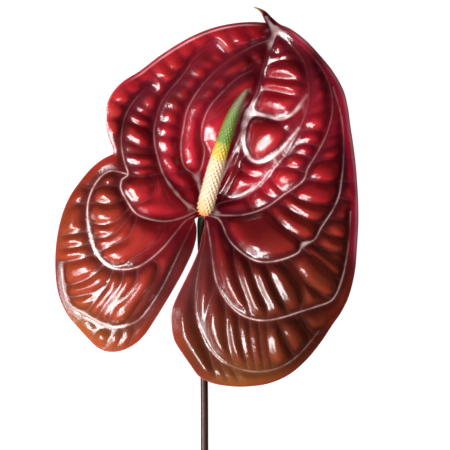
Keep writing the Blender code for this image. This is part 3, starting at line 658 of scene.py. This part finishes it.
def honeycomb(low, high):
    """Points of an even triangular grid between two corners."""
    rows = GRID_STEP * math.sqrt(3) / 2
    grid = []
    for row in range(int((high[1] - low[1]) / rows)):
        shift = GRID_STEP / 2 if row % 2 else 0
        for column in range(int((high[0] - low[0]) / GRID_STEP)):
            grid.append((low[0] + shift + column * GRID_STEP, low[1] + row * rows))
    return np.array(grid)


def rows_beside(path, offset):
    """Samples along both sides of a path, offset from it by a number of pixels."""
    samples = resample(path, VEIN_STEP)
    along = np.gradient(samples, axis=0)
    across = np.column_stack([-along[:, 1], along[:, 0]]) / np.linalg.norm(along, axis=1)[:, None]
    return np.vstack([samples + offset * across, samples - offset * across])


def sheet_points(spathe):
    """Points for the spathe's mesh: its rim, then rows on and beside the veins, then an even grid."""
    edge = rim(RIM_STEP)
    samples = np.vstack([resample(vein[0], VEIN_STEP) for vein in spathe.veins])
    samples = thin_out(within(spathe, samples, VEIN_TO_RIM), edge, VEIN_TO_VEIN)
    rows = [rows_beside(path, offset) for path, kind, *_ in spathe.veins for offset in SIDE_ROWS[kind]]
    rows = thin_out(within(spathe, np.vstack(rows), VEIN_TO_RIM), np.vstack([edge, samples]), SIDE_GAP)
    grid = within(spathe, honeycomb(edge.min(0), edge.max(0)), GRID_TO_RIM)
    grid = thin_out(grid, np.vstack([edge, samples, rows]), GRID_TO_OTHERS)
    return np.vstack([edge, samples, rows, grid]), len(edge)


def triangulate(points, edge_count):
    """Triangles inside the closed rim that the first edge_count points make, seen from above."""
    edges = [(i, (i + 1) % edge_count) for i in range(edge_count)]
    flipped = [(float(x), -float(y)) for x, y in points]
    result = delaunay_2d_cdt(flipped, edges, [], 1, SAME_POINT)
    flat = np.array([(x, -y) for x, y in result[0]])
    return flat, [tuple(face) for face in result[2]]


def mesh_object(name, points, faces, materials):
    """A smooth-shaded object of these points and faces."""
    mesh = bpy.data.meshes.new(name)
    mesh.from_pydata([tuple(p) for p in points], [], [tuple(f) for f in faces])
    for material in materials:
        mesh.materials.append(material)
    mesh.shade_smooth()
    obj = bpy.data.objects.new(name, mesh)
    bpy.context.scene.collection.objects.link(obj)
    return obj


def write_attribute(obj, name, values):
    attribute = obj.data.attributes.new(name, "FLOAT", "POINT")
    attribute.data.foreach_set("value", np.asarray(values, np.float32))


def patch_mask(patches, points):
    """How strongly a set of soft round patches covers each point, from 0 to 1."""
    bare = np.ones(len(points))
    for x, y, radius, strength in patches:
        away = np.linalg.norm(points - (x, y), axis=1)
        bare *= 1 - strength * np.exp(-(away / radius) ** 2)
    return 1 - bare


def rim_edges(faces):
    """The edges that belong to one face only, in the direction that the face runs."""
    directed = {(a, b) for f in faces for a, b in zip(f, f[1:] + f[:1])}
    return sorted((a, b) for a, b in directed if (b, a) not in directed)


def two_sides(flat, centre, normal, lift, edge):
    """The blade's face and back, which come closer towards the edge. The back stays above the surface."""
    taper = np.clip(edge / EDGE_TAPER, 0, 1)[:, None]
    half = (EDGE_THICKNESS + (SPATHE_THICKNESS - EDGE_THICKNESS) * taper) / 2
    face_side = centre + normal * (lift[:, None] + half)
    back_side = centre + normal * (lift[:, None] - half)
    spot = np.linalg.norm(flat - REST_SPOT, axis=1) * PIXEL < REST_SPOT_RADIUS
    back_side[spot, 2] = 0
    back_side[:, 2] = np.maximum(back_side[:, 2], 0)
    return face_side, back_side


def outward_along(border, border_points, centre, normal):
    """The direction that leads out of the blade at each point of its border."""
    outward = np.zeros((len(centre), 3))
    for a, b in border:
        across = np.cross(centre[b] - centre[a], normal[a] + normal[b])
        across /= np.linalg.norm(across)
        outward[a] += across
        outward[b] += across
    outward = outward[border_points]
    return outward / np.linalg.norm(outward, axis=1)[:, None]


def shell_faces(faces, border, border_points, count):
    """The face's triangles, then the back's, turned over, then two rows of quads round the rim."""
    middle_of = {point: 2 * count + order for order, point in enumerate(border_points)}
    shell = list(faces) + [tuple(i + count for i in reversed(f)) for f in faces]
    for a, b in border:
        shell.append((a, middle_of[a], middle_of[b], b))
        shell.append((middle_of[a], a + count, b + count, middle_of[b]))
    return shell


def make_spathe(spathe, face_material, back_material):
    """The blade: face, back and a rounded rim between them, with its readings kept as attributes."""
    flat, faces = triangulate(*sheet_points(spathe))
    centre, normal = spathe.surface(flat)
    level, shade, pale, cord = spathe.veined(flat)
    edge = spathe.edge_distance(flat)
    face_side, back_side = two_sides(flat, centre, normal, spathe.relief(flat, level, cord), edge)
    border = rim_edges(faces)
    border_points = sorted({a for a, _ in border})
    middle = (face_side[border_points] + back_side[border_points]) / 2
    middle += outward_along(border, border_points, centre, normal) * EDGE_BULGE
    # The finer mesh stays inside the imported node's own box
    low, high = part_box("spathe")
    points = np.clip(np.vstack([face_side, back_side, middle]), low, high)
    shell = shell_faces(faces, border, border_points, len(flat))
    obj = mesh_object("spathe_blade", points, shell, [face_material, back_material])
    slots = np.zeros(len(shell), np.int32)
    slots[len(faces):2 * len(faces)] = 1
    obj.data.polygons.foreach_set("material_index", slots)
    readings = {"level": level, "shade": shade, "pale": pale, "edge": edge / MM}
    write_readings(obj, flat, border_points, readings)
    return obj


def write_readings(obj, flat, border_points, readings):
    """Keeps the readings and the colour masks on the face, the back and the rim's middle alike."""
    for name, patches in PATCHES.items():
        readings[name] = patch_mask(patches, flat)
    for name, values in readings.items():
        write_attribute(obj, name, np.concatenate([values, values, values[border_points]]))


def pixels_of(points):
    """The pixel at which the camera saw each point in space: place() turned round."""
    nearness = (VIEW_DISTANCE - points[:, 2]) / (VIEW_DISTANCE - FOCUS_HEIGHT)
    x = (points[:, 0] / PIXEL + ORIGIN_PX[0] - VIEW_CENTRE[0]) / nearness + VIEW_CENTRE[0]
    y = (-points[:, 1] / PIXEL + ORIGIN_PX[1] - VIEW_CENTRE[1]) / nearness + VIEW_CENTRE[1]
    return np.column_stack([x, y])


def frames_along(axis):
    """A side and an up direction at each point of a curve, turning with it as little as they can."""
    tangents = np.gradient(axis, axis=0)
    tangents /= np.linalg.norm(tangents, axis=1)[:, None]
    side = np.cross(tangents[0], (0, 0, 1))
    sides = []
    for tangent in tangents:
        side = side - tangent * (side @ tangent)
        side = side / np.linalg.norm(side)
        sides.append(side)
    sides = np.array(sides)
    return sides, np.cross(tangents, sides), tangents


def tube_points(axis, radii):
    """Rings of points round a curve. radii holds one row for each ring and one column for each side."""
    side, up, _ = frames_along(axis)
    angles = np.linspace(0, 2 * math.pi, radii.shape[1], endpoint=False)
    spokes = np.cos(angles)[None, :, None] * side[:, None] + np.sin(angles)[None, :, None] * up[:, None]
    return (axis[:, None] + spokes * radii[:, :, None]).reshape(-1, 3)


def tube_faces(ring_count, sides):
    """Quads between neighbouring rings, and a fan to a centre point over each end."""
    faces = []
    for ring in range(ring_count - 1):
        for step in range(sides):
            after = (step + 1) % sides
            low, high = ring * sides, (ring + 1) * sides
            faces.append((low + step, low + after, high + after, high + step))
    start_centre = ring_count * sides
    end_centre = start_centre + 1
    last = (ring_count - 1) * sides
    for step in range(sides):
        after = (step + 1) % sides
        faces.append((start_centre, after, step))
        faces.append((end_centre, last + step, last + after))
    return faces


def sink_into(spathe, points, side):
    """The points moved straight up or down until they lie a little inside the spathe's blade."""
    pixels = pixels_of(points)
    centre, normal = spathe.surface(pixels)
    level, _, _, cord = spathe.veined(pixels)
    offset = spathe.relief(pixels, level, cord) + side * (SPATHE_THICKNESS / 2 - SINK)
    moved = points.copy()
    moved[:, 2] = centre[:, 2] + offset / normal[:, 2]
    return moved


def path_in_space(readings, step):
    """A smooth path through readings of x, y and height in millimetres, at even distances."""
    curve = smooth(readings)
    placed = place(curve[:, :2], curve[:, 2] * MM)
    return resample(placed, step)


def blend(pair, share):
    """The value between the two of a pair, at a share from 0 to 1."""
    return pair[0] + (pair[1] - pair[0]) * share


def floret_rows(length):
    """How far along the spadix each row of florets sits, closer together towards the tip."""
    rows = []
    at = FLORET_PITCH[0]
    while at < length:
        rows.append(at)
        at += blend(FLORET_PITCH, at / length)
    return np.array(rows)


def floret_swell(row_at):
    """How full its floret is at each point, from 0 in the grooves to 1, for rings at these rows."""
    turn = np.arange(SPADIX_SIDES) / SPADIX_SIDES * FLORETS_AROUND
    swell = 1
    for slant in (turn, -turn):
        diagonal = row_at[:, None] / 2 + slant[None]
        away = np.abs(diagonal - np.round(diagonal)) * 2
        swell = swell * (1 - away**2)
    return swell


def make_spadix(spathe, material, stigma_material):
    """The spadix: a tapering column of fused, diamond-shaped florets, each with a stigma in its middle."""
    axis = path_in_space(SPADIX_AXIS, SPADIX_STEP)
    lengths = np.concatenate([[0], np.cumsum(np.linalg.norm(np.diff(axis, axis=0), axis=1))])
    share = lengths / lengths[-1]
    table = np.array(SPADIX_RADII)
    radius = np.interp(share, table[:, 0], table[:, 1]) * MM
    rows = floret_rows(lengths[-1])
    swell = floret_swell(np.interp(lengths, rows, np.arange(len(rows))))
    height = blend(FLORET_HEIGHT, np.clip((share - FLATTER_FROM) / (1 - FLATTER_FROM), 0, 1))
    height = height * np.minimum(1, radius / SLIM_RADIUS)
    radii = radius[:, None] + height[:, None] * (swell - GROOVE_SHARE)
    points = tube_points(axis, radii)
    points[:SPADIX_SIDES] = sink_into(spathe, points[:SPADIX_SIDES], 1)
    ends = np.vstack([points[:SPADIX_SIDES].mean(0), axis[-1] + (axis[-1] - axis[-2])])
    body = mesh_object("spadix_column", np.vstack([points, ends]), tube_faces(len(axis), SPADIX_SIDES),
                       [material])
    write_attribute(body, "along", np.concatenate([np.repeat(share, SPADIX_SIDES), [0, 1]]))
    write_attribute(body, "swell", np.concatenate([swell.ravel(), [0, 0]]))
    stigmas = make_stigmas(axis, lengths, radius, height, rows, stigma_material)
    return body, stigmas


def make_stigmas(axis, lengths, radius, height, rows, material):
    """A small cone on each floret, pointed on the open florets below and a low dot on the green ones."""
    side, up, tangents = frames_along(axis)
    points, faces, along = [], [], []
    for row, at in enumerate(rows):
        index = int(np.searchsorted(lengths, at))
        share = at / lengths[-1]
        size = STIGMA_RADIUS * min(1, radius[index] / SLIM_RADIUS)
        length = blend(STIGMA_LENGTH, min(1, max(0, (share - OPEN_UNTIL) / (SHUT_FROM - OPEN_UNTIL))))
        for floret in range(FLORETS_AROUND):
            angle = 2 * math.pi * (floret + row / 2) / FLORETS_AROUND
            out = math.cos(angle) * side[index] + math.sin(angle) * up[index]
            across = np.cross(out, tangents[index])
            foot = axis[index] + out * (radius[index] + height[index] * STIGMA_FOOT)
            start = len(points)
            for corner in range(STIGMA_SIDES):
                bearing = 2 * math.pi * corner / STIGMA_SIDES
                spoke = math.cos(bearing) * across + math.sin(bearing) * tangents[index]
                points.append(foot + size * spoke)
                faces.append((start + corner, start + (corner + 1) % STIGMA_SIDES, start + STIGMA_SIDES))
            points.append(foot + out * (length + height[index] * STIGMA_RISE))
            along += [share] * (STIGMA_SIDES + 1)
    obj = mesh_object("spadix_stigmas", points, faces, [material])
    write_attribute(obj, "along", along)
    return obj


def make_peduncle(spathe, material, cut_material):
    """The stalk: round, straight along the surface, then curving up to the spathe's back."""
    axis = path_in_space(STALK_LINE, STALK_STEP)
    radius = np.linspace(STALK_RADIUS, STALK_TOP_RADIUS, len(axis))
    points = tube_points(axis, np.repeat(radius[:, None], STALK_SIDES, axis=1))
    points[-STALK_SIDES:] = sink_into(spathe, points[-STALK_SIDES:], -1)
    ends = np.vstack([axis[0], points[-STALK_SIDES:].mean(0)])
    obj = mesh_object("stalk", np.vstack([points, ends]), tube_faces(len(axis), STALK_SIDES),
                      [material, cut_material])
    cut_fan = range(len(obj.data.polygons) - 2 * STALK_SIDES, len(obj.data.polygons), 2)
    for index in cut_fan:
        obj.data.polygons[index].material_index = 1
        obj.data.polygons[index].use_smooth = False
    share = np.linspace(0, 1, len(axis))
    write_attribute(obj, "along", np.concatenate([np.repeat(share, STALK_SIDES), [0, 1]]))
    return obj


SKIN_IOR = 1.45


class Surface:
    """A Principled material, with short ways to add the nodes that feed it."""

    def __init__(self, name, roughness, coat=0.0, coat_roughness=0.03):
        self.material = bpy.data.materials.new(name)
        self.material.use_nodes = True
        self.nodes = self.material.node_tree.nodes
        self.links = self.material.node_tree.links
        self.shader = self.nodes["Principled BSDF"]
        self.shader.inputs["Roughness"].default_value = roughness
        self.shader.inputs["IOR"].default_value = SKIN_IOR
        self.shader.inputs["Coat Weight"].default_value = coat
        self.shader.inputs["Coat Roughness"].default_value = coat_roughness

    def attribute(self, name):
        node = self.nodes.new("ShaderNodeAttribute")
        node.attribute_name = name
        return node.outputs["Fac"]

    def coordinates(self):
        return self.nodes.new("ShaderNodeTexCoord").outputs["Object"]

    def ramp(self, value, low, high, start=0.0, end=1.0):
        """value taken from the range low to high onto start to end, smoothly."""
        node = self.nodes.new("ShaderNodeMapRange")
        node.interpolation_type = "SMOOTHSTEP"
        self.links.new(value, node.inputs["Value"])
        for socket, number in (("From Min", low), ("From Max", high), ("To Min", start), ("To Max", end)):
            node.inputs[socket].default_value = number
        return node.outputs["Result"]

    def times(self, a, b):
        return self.math("MULTIPLY", a, b)

    def math(self, operation, a, b):
        node = self.nodes.new("ShaderNodeMath")
        node.operation = operation
        for socket, value in zip(node.inputs, (a, b)):
            if isinstance(value, (int, float)):
                socket.default_value = value
            else:
                self.links.new(value, socket)
        return node.outputs["Value"]

    def noise(self, scale, detail=3.0, roughness=0.55, stretch=None):
        node = self.nodes.new("ShaderNodeTexNoise")
        node.inputs["Scale"].default_value = scale
        node.inputs["Detail"].default_value = detail
        node.inputs["Roughness"].default_value = roughness
        where = self.coordinates()
        if stretch:
            mapping = self.nodes.new("ShaderNodeMapping")
            mapping.inputs["Scale"].default_value = stretch
            self.links.new(where, mapping.inputs["Vector"])
            where = mapping.outputs["Vector"]
        self.links.new(where, node.inputs["Vector"])
        return node.outputs["Fac"]

    def mix(self, share, a, b):
        """Colour a where share is 0 and colour b where it is 1."""
        node = self.nodes.new("ShaderNodeMix")
        node.data_type = "RGBA"
        self.links.new(share, node.inputs["Factor"])
        sockets = [s for s in node.inputs if s.type == "RGBA"]
        for socket, value in zip(sockets, (a, b)):
            if isinstance(value, tuple):
                socket.default_value = (*value, 1)
            else:
                self.links.new(value, socket)
        return [s for s in node.outputs if s.type == "RGBA"][0]

    def colour(self, value):
        self.links.new(value, self.shader.inputs["Base Color"])

    def bump(self, heights):
        """Bumps from pairs of a height value and its depth in metres, one after the other."""
        normal = None
        for value, depth in heights:
            node = self.nodes.new("ShaderNodeBump")
            node.inputs["Distance"].default_value = depth
            self.links.new(value, node.inputs["Height"])
            if normal is not None:
                self.links.new(normal, node.inputs["Normal"])
            normal = node.outputs["Normal"]
        self.links.new(normal, self.shader.inputs["Normal"])
        self.links.new(normal, self.shader.inputs["Coat Normal"])


# Linear colours
CRIMSON = (0.30, 0.006, 0.014)
CELL_TOP = (0.37, 0.014, 0.016)
# Painted shadow on the red
SHADOW_RED = (0.085, 0.005, 0.006)
# Painted light on the pillow tops
LIT_RED = (0.50, 0.014, 0.030)
# Magenta, brightened as painted light for the shaded right edge
LIT_MAGENTA = (0.74, 0.012, 0.066)
# Painted shade in the gaps between the pillows, on the red and on the brown
GAP_SHADE = (0.095, 0.004, 0.011)
# Painted light over the painted shade in the gaps
LIT_GAP = (0.42, 0.010, 0.026)
BROWN = (0.225, 0.036, 0.013)
BROWN_GAP_SHADE = (0.10, 0.015, 0.008)
# Painted shadow on the brown lobes
SHADOW_BROWN = (0.085, 0.018, 0.007)
OLIVE = (0.24, 0.095, 0.018)
MAROON = (0.10, 0.022, 0.022)
# The veins' paler tissue, brightened towards white as a painted highlight
PALE_VEIN_HIGHLIGHT = (0.98, 0.64, 0.62)
MARGIN_PINK = (0.55, 0.060, 0.095)
# Painted highlight colour on the rolled edge and on the right edge's lip
HIGHLIGHT_PINK = (0.80, 0.34, 0.38)
# Painted highlight where the veins' valleys meet
WEB_HIGHLIGHT = (0.96, 0.68, 0.68)
TIP_GREEN = (0.42, 0.36, 0.14)
BACK_RED = (0.17, 0.028, 0.022)
BACK_VEIN = (0.30, 0.12, 0.06)
BACK_BLOTCH = (0.24, 0.05, 0.03)
MOTTLE = (0.02, 0.002, 0.003)
FLORET_GROOVE = (0.10, 0.06, 0.01)
STALK_RED_BROWN = (0.060, 0.022, 0.014)
STALK_PURPLE = (0.028, 0.010, 0.009)
STALK_GREEN = (0.020, 0.045, 0.012)
STALK_GRAIN = (0.12, 0.045, 0.025)
PITH = (0.50, 0.56, 0.28)
PITH_SPECK = (0.30, 0.36, 0.16)

# Bands of colour along the spathe's edge: millimetres from it at which each starts and is full
LIT_MAGENTA_BAND = (6.0, 1.5)
# A painted sheen on the right edge's lip
SHEEN_LIP_BAND = (2.4, 0.9)
SHEEN_LIP_STRENGTH = 0.70
# Where the painted highlight on the rolled edge lies
RIM_HIGHLIGHT_INNER = (1.9, 1.3)
RIM_HIGHLIGHT_OUTER = (0.6, 1.1)
EDGE_BAND = (0.7, 0.1)
EDGE_STRENGTH = 0.6
BACK_EDGE_BAND = (0.9, 0.1)

# The skin's fine unevenness: how close, how detailed and how deep in metres
STIPPLE = (1100.0, 3.0, 0.00010)
RIPPLE = (160.0, 2.0, 0.00020)


def skin_colour(s):
    """Red pillows with painted shade in the gaps between them, brown, olive and maroon in patches, and
    painted light and painted shadow on some cells.
    """
    # Painted shade: the colour darkens towards the dips, where shade falls between the pillows
    full = s.ramp(s.attribute("shade"), 0.12, 0.65)
    top = s.mix(s.ramp(s.noise(45.0), 0.35, 0.7), CELL_TOP, CRIMSON)
    # Painted light: brighter pillows and lighter gaps in these patches
    top = s.mix(s.attribute("painted_light"), top, LIT_RED)
    red = s.mix(full, s.mix(s.attribute("painted_light"), GAP_SHADE, LIT_GAP), top)
    uneven = s.ramp(s.noise(60.0), 0.25, 0.75, 0.7, 1.15)
    colour = s.mix(s.times(s.attribute("brown"), uneven), red, s.mix(full, BROWN_GAP_SHADE, BROWN))
    colour = s.mix(s.attribute("olive"), colour, OLIVE)
    colour = s.mix(s.attribute("maroon"), colour, MAROON)
    # Painted shadow over the shaded patches
    return s.mix(s.attribute("painted_shadow"), colour, s.mix(s.attribute("brown"), SHADOW_RED, SHADOW_BROWN))


def with_margin(s, colour):
    """A magenta band along the right edge, its own hue brightened as painted light where that side lies in
    shade, with a painted pink sheen on its lip.
    """
    edge = s.attribute("edge")
    lit_magenta = s.attribute("lit_magenta")
    colour = s.mix(s.times(lit_magenta, s.ramp(edge, *LIT_MAGENTA_BAND)), colour, LIT_MAGENTA)
    # Painted sheen on the lip
    return s.mix(s.times(lit_magenta, s.ramp(edge, *SHEEN_LIP_BAND, 0.0, SHEEN_LIP_STRENGTH)), colour, HIGHLIGHT_PINK)


def with_veins(s, colour):
    """The veins' broken pale lines, partly a painted highlight, and a painted white highlight in the valleys
    where they meet.
    """
    bare = s.math("SUBTRACT", 1.0, s.attribute("veiled"))
    shown = s.times(bare, s.ramp(s.noise(150.0), 0.35, 0.6, 0.4, 1.0))
    # Pale vein lines, partly a painted highlight
    colour = s.mix(s.times(s.attribute("pale"), shown), colour, PALE_VEIN_HIGHLIGHT)
    # Painted highlight in the valleys where the veins meet
    valley = s.ramp(s.attribute("level"), 0.045, 0.008)
    return s.mix(s.times(s.attribute("web"), valley), colour, WEB_HIGHLIGHT)


def with_rim(s, colour):
    """A painted highlight along the rolled edge at the top left, and a thin pink edge all round."""
    edge = s.attribute("edge")
    line = s.times(s.ramp(edge, *RIM_HIGHLIGHT_OUTER), s.ramp(edge, *RIM_HIGHLIGHT_INNER))
    colour = s.mix(s.times(s.attribute("rolled"), line), colour, HIGHLIGHT_PINK)
    return s.mix(s.ramp(edge, *EDGE_BAND, 0.0, EDGE_STRENGTH), colour, MARGIN_PINK)


def spathe_face():
    """Glossy crimson skin, browner on the lobes, with painted shade between the pillows, painted light and
    shadow in patches, and pale veins that carry a painted highlight.
    """
    s = Surface("spathe face", 0.35, coat=1.0, coat_roughness=0.05)
    s.shader.inputs["Specular IOR Level"].default_value = 0.15
    colour = with_rim(s, with_veins(s, with_margin(s, skin_colour(s))))
    colour = s.mix(s.attribute("tip"), colour, TIP_GREEN)
    mottle = s.ramp(s.noise(900.0, detail=2.0), 0.3, 0.7, 0.0, 0.16)
    s.colour(s.mix(mottle, colour, MOTTLE))
    s.bump([(s.noise(scale, detail=detail), depth) for scale, detail, depth in (STIPPLE, RIPPLE)])
    return s.material


def spathe_back():
    """Duller, browner skin with its veins showing lighter."""
    s = Surface("spathe back", 0.45, coat=0.15, coat_roughness=0.25)
    colour = s.mix(s.ramp(s.attribute("level"), 0.05, 0.55), BACK_VEIN, BACK_RED)
    colour = s.mix(s.ramp(s.noise(120.0), 0.3, 0.75, 0.0, 0.5), colour, BACK_BLOTCH)
    colour = s.mix(s.ramp(s.attribute("edge"), *BACK_EDGE_BAND), colour, MARGIN_PINK)
    s.colour(colour)
    s.bump([(s.noise(500.0), 0.00008)])
    return s.material


def spadix_colour(s, tints):
    """A colour that runs through tints, which are pairs of a share of the spadix's length and a colour."""
    along = s.math("ADD", s.attribute("along"), s.ramp(s.noise(300.0), 0.0, 1.0, -0.02, 0.02))
    ramp = s.nodes.new("ShaderNodeValToRGB")
    ramp.color_ramp.interpolation = "EASE"
    elements = ramp.color_ramp.elements
    while len(elements) < len(tints):
        elements.new(0.5)
    for element, (share, colour) in zip(elements, tints):
        element.position = share
        element.color = (*colour, 1)
    s.links.new(along, ramp.inputs["Fac"])
    return ramp.outputs["Color"]


# Tints along the spadix and its stigmas, as shares of its length and colours
SPADIX_TINTS = [
    (0.0, (0.30, 0.06, 0.02)), (0.035, (0.64, 0.24, 0.05)), (0.09, (0.62, 0.38, 0.18)),
    (0.18, (0.62, 0.42, 0.29)), (0.43, (0.62, 0.42, 0.27)), (0.50, (0.58, 0.36, 0.03)),
    (0.56, (0.34, 0.30, 0.018)), (0.61, (0.065, 0.155, 0.006)), (0.80, (0.075, 0.125, 0.010)),
    (0.90, (0.11, 0.085, 0.036)), (1.0, (0.15, 0.09, 0.045)),
]
STIGMA_TINTS = [
    (0.0, (0.60, 0.22, 0.05)), (0.08, (0.70, 0.46, 0.25)), (0.20, (0.70, 0.54, 0.40)),
    (0.43, (0.70, 0.54, 0.38)), (0.52, (0.64, 0.44, 0.09)), (0.60, (0.42, 0.44, 0.04)),
    (0.84, (0.20, 0.22, 0.035)), (1.0, (0.17, 0.12, 0.06)),
]


def spadix_skin():
    """Cream below, through a yellow band, to green with darker grooves above."""
    s = Surface("spadix skin", 0.50, coat=0.1, coat_roughness=0.25)
    colour = spadix_colour(s, SPADIX_TINTS)
    groove = s.ramp(s.attribute("swell"), 0.0, 0.5, 0.18, 0.0)
    colour = s.mix(groove, colour, FLORET_GROOVE)
    s.colour(colour)
    s.bump([(s.noise(1400.0), 0.00005)])
    s.shader.inputs["Subsurface Weight"].default_value = 0.15
    s.shader.inputs["Subsurface Scale"].default_value = 0.001
    return s.material


def stigma_skin():
    s = Surface("stigmas", 0.35, coat=0.3, coat_roughness=0.2)
    s.colour(spadix_colour(s, STIGMA_TINTS))
    return s.material


def stalk_skin():
    """Dark green near the flower, through purple-brown, to reddish brown, with fine lengthwise grain."""
    s = Surface("stalk skin", 0.42, coat=0.05, coat_roughness=0.2)
    along = s.attribute("along")
    colour = s.mix(s.ramp(along, 0.25, 0.72), STALK_RED_BROWN, STALK_PURPLE)
    colour = s.mix(s.ramp(along, 0.80, 0.93), colour, STALK_GREEN)
    grain = s.noise(500.0, detail=3.0, stretch=(1.0, 0.05, 1.0))
    colour = s.mix(s.ramp(grain, 0.35, 0.75, 0.0, 0.5), colour, STALK_GRAIN)
    s.colour(colour)
    s.bump([(grain, 0.00006)])
    return s.material


def stalk_cut():
    """The cut end: pale green pith with darker specks."""
    s = Surface("stalk cut", 0.6)
    specks = s.ramp(s.noise(2500.0, detail=1.0), 0.55, 0.65)
    s.colour(s.mix(specks, PITH, PITH_SPECK))
    return s.material


# The studio
WORLD_LIGHT = 0.13
LIGHTS = [
    # name, bearing and elevation in degrees from the flower, distance, width, height, watts, seen in gloss
    ("left key", 208, 33, 0.75, 0.36, 0.24, 6.8, True),
    ("lower key", 243, 26, 0.85, 0.46, 0.24, 7.4, True),
    ("low window", 220, 12, 0.90, 0.60, 0.14, 2.4, True),
    ("weak side", 12, 35, 1.2, 0.4, 0.4, 2.4, False),
    ("overhead", 200, 78, 1.5, 1.2, 1.2, 3.4, False),
]
FLOWER_CENTRE = (0.0, 0.10, 0.02)
FLOOR_SIZE = 6.0
FLOOR_DROP = 0.0002
FLOOR_GREY = (0.3, 0.3, 0.3)
FLOOR_GLOW = 0.93
WHITE = (1.0, 1.0, 1.0)


def make_light(name, bearing, elevation, distance, width, height, watts, glossy):
    """A soft box that faces the flower."""
    bearing, elevation = math.radians(bearing), math.radians(elevation)
    out = Vector((math.cos(bearing) * math.cos(elevation), math.sin(bearing) * math.cos(elevation),
                  math.sin(elevation)))
    light = bpy.data.lights.new(name, "AREA")
    light.shape = "RECTANGLE"
    light.size = width
    light.size_y = height
    light.energy = watts
    obj = bpy.data.objects.new(name, light)
    obj.location = Vector(FLOWER_CENTRE) + out * distance
    obj.rotation_euler = out.to_track_quat("Z", "Y").to_euler()
    obj.visible_camera = False
    obj.visible_glossy = glossy
    bpy.context.scene.collection.objects.link(obj)


def make_floor():
    """A plain white floor that neither shows in the gloss nor lights the flower."""
    material = Surface("floor", 0.9)
    material.shader.inputs["Base Color"].default_value = (*FLOOR_GREY, 1)
    material.shader.inputs["Emission Color"].default_value = (*WHITE, 1)
    material.shader.inputs["Emission Strength"].default_value = FLOOR_GLOW
    side = FLOOR_SIZE / 2
    corners = [(-side, -side), (side, -side), (side, side), (-side, side)]
    points = [(x, y, -FLOOR_DROP) for x, y in corners]
    floor = mesh_object("floor", points, [(0, 1, 2, 3)], [material.material])
    floor.visible_glossy = False
    floor.visible_diffuse = False


def make_world(scene):
    """Even, weak light from all sides, which doesn't show in the gloss."""
    world = bpy.data.worlds.new("studio")
    world.use_nodes = True
    background = world.node_tree.nodes["Background"]
    background.inputs["Color"].default_value = (*WHITE, 1)
    background.inputs["Strength"].default_value = WORLD_LIGHT
    world.cycles_visibility.glossy = False
    scene.world = world


def make_studio():
    """The floor, the lights, the world and the camera."""
    scene = bpy.context.scene
    make_floor()
    for light in LIGHTS:
        make_light(*light)
    make_world(scene)
    scene.view_settings.view_transform = "Standard"
    make_camera(scene)


def make_camera(scene):
    """The camera looks straight down, as far away as the pixels were read for."""
    camera = bpy.data.cameras.new("camera")
    camera.sensor_width = SENSOR_WIDTH
    camera.lens = SENSOR_WIDTH * (VIEW_DISTANCE - FOCUS_HEIGHT) / (FRAME_PX * PIXEL)
    obj = bpy.data.objects.new("camera", camera)
    x = (VIEW_CENTRE[0] - ORIGIN_PX[0]) * PIXEL
    y = (ORIGIN_PX[1] - VIEW_CENTRE[1]) * PIXEL
    obj.location = (x, y, VIEW_DISTANCE)
    scene.collection.objects.link(obj)
    scene.camera = obj


def main():
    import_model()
    spathe = Spathe()
    blade = make_spathe(spathe, spathe_face(), spathe_back())
    column, stigmas = make_spadix(spathe, spadix_skin(), stigma_skin())
    stalk = make_peduncle(spathe, stalk_skin(), stalk_cut())
    for piece, node in ((blade, "spathe"), (column, "spadix"), (stigmas, "spadix"), (stalk, "peduncle")):
        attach(piece, "root")
        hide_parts(node)
    for piece in (column, stigmas):
        piece.visible_glossy = False
    make_studio()


main()
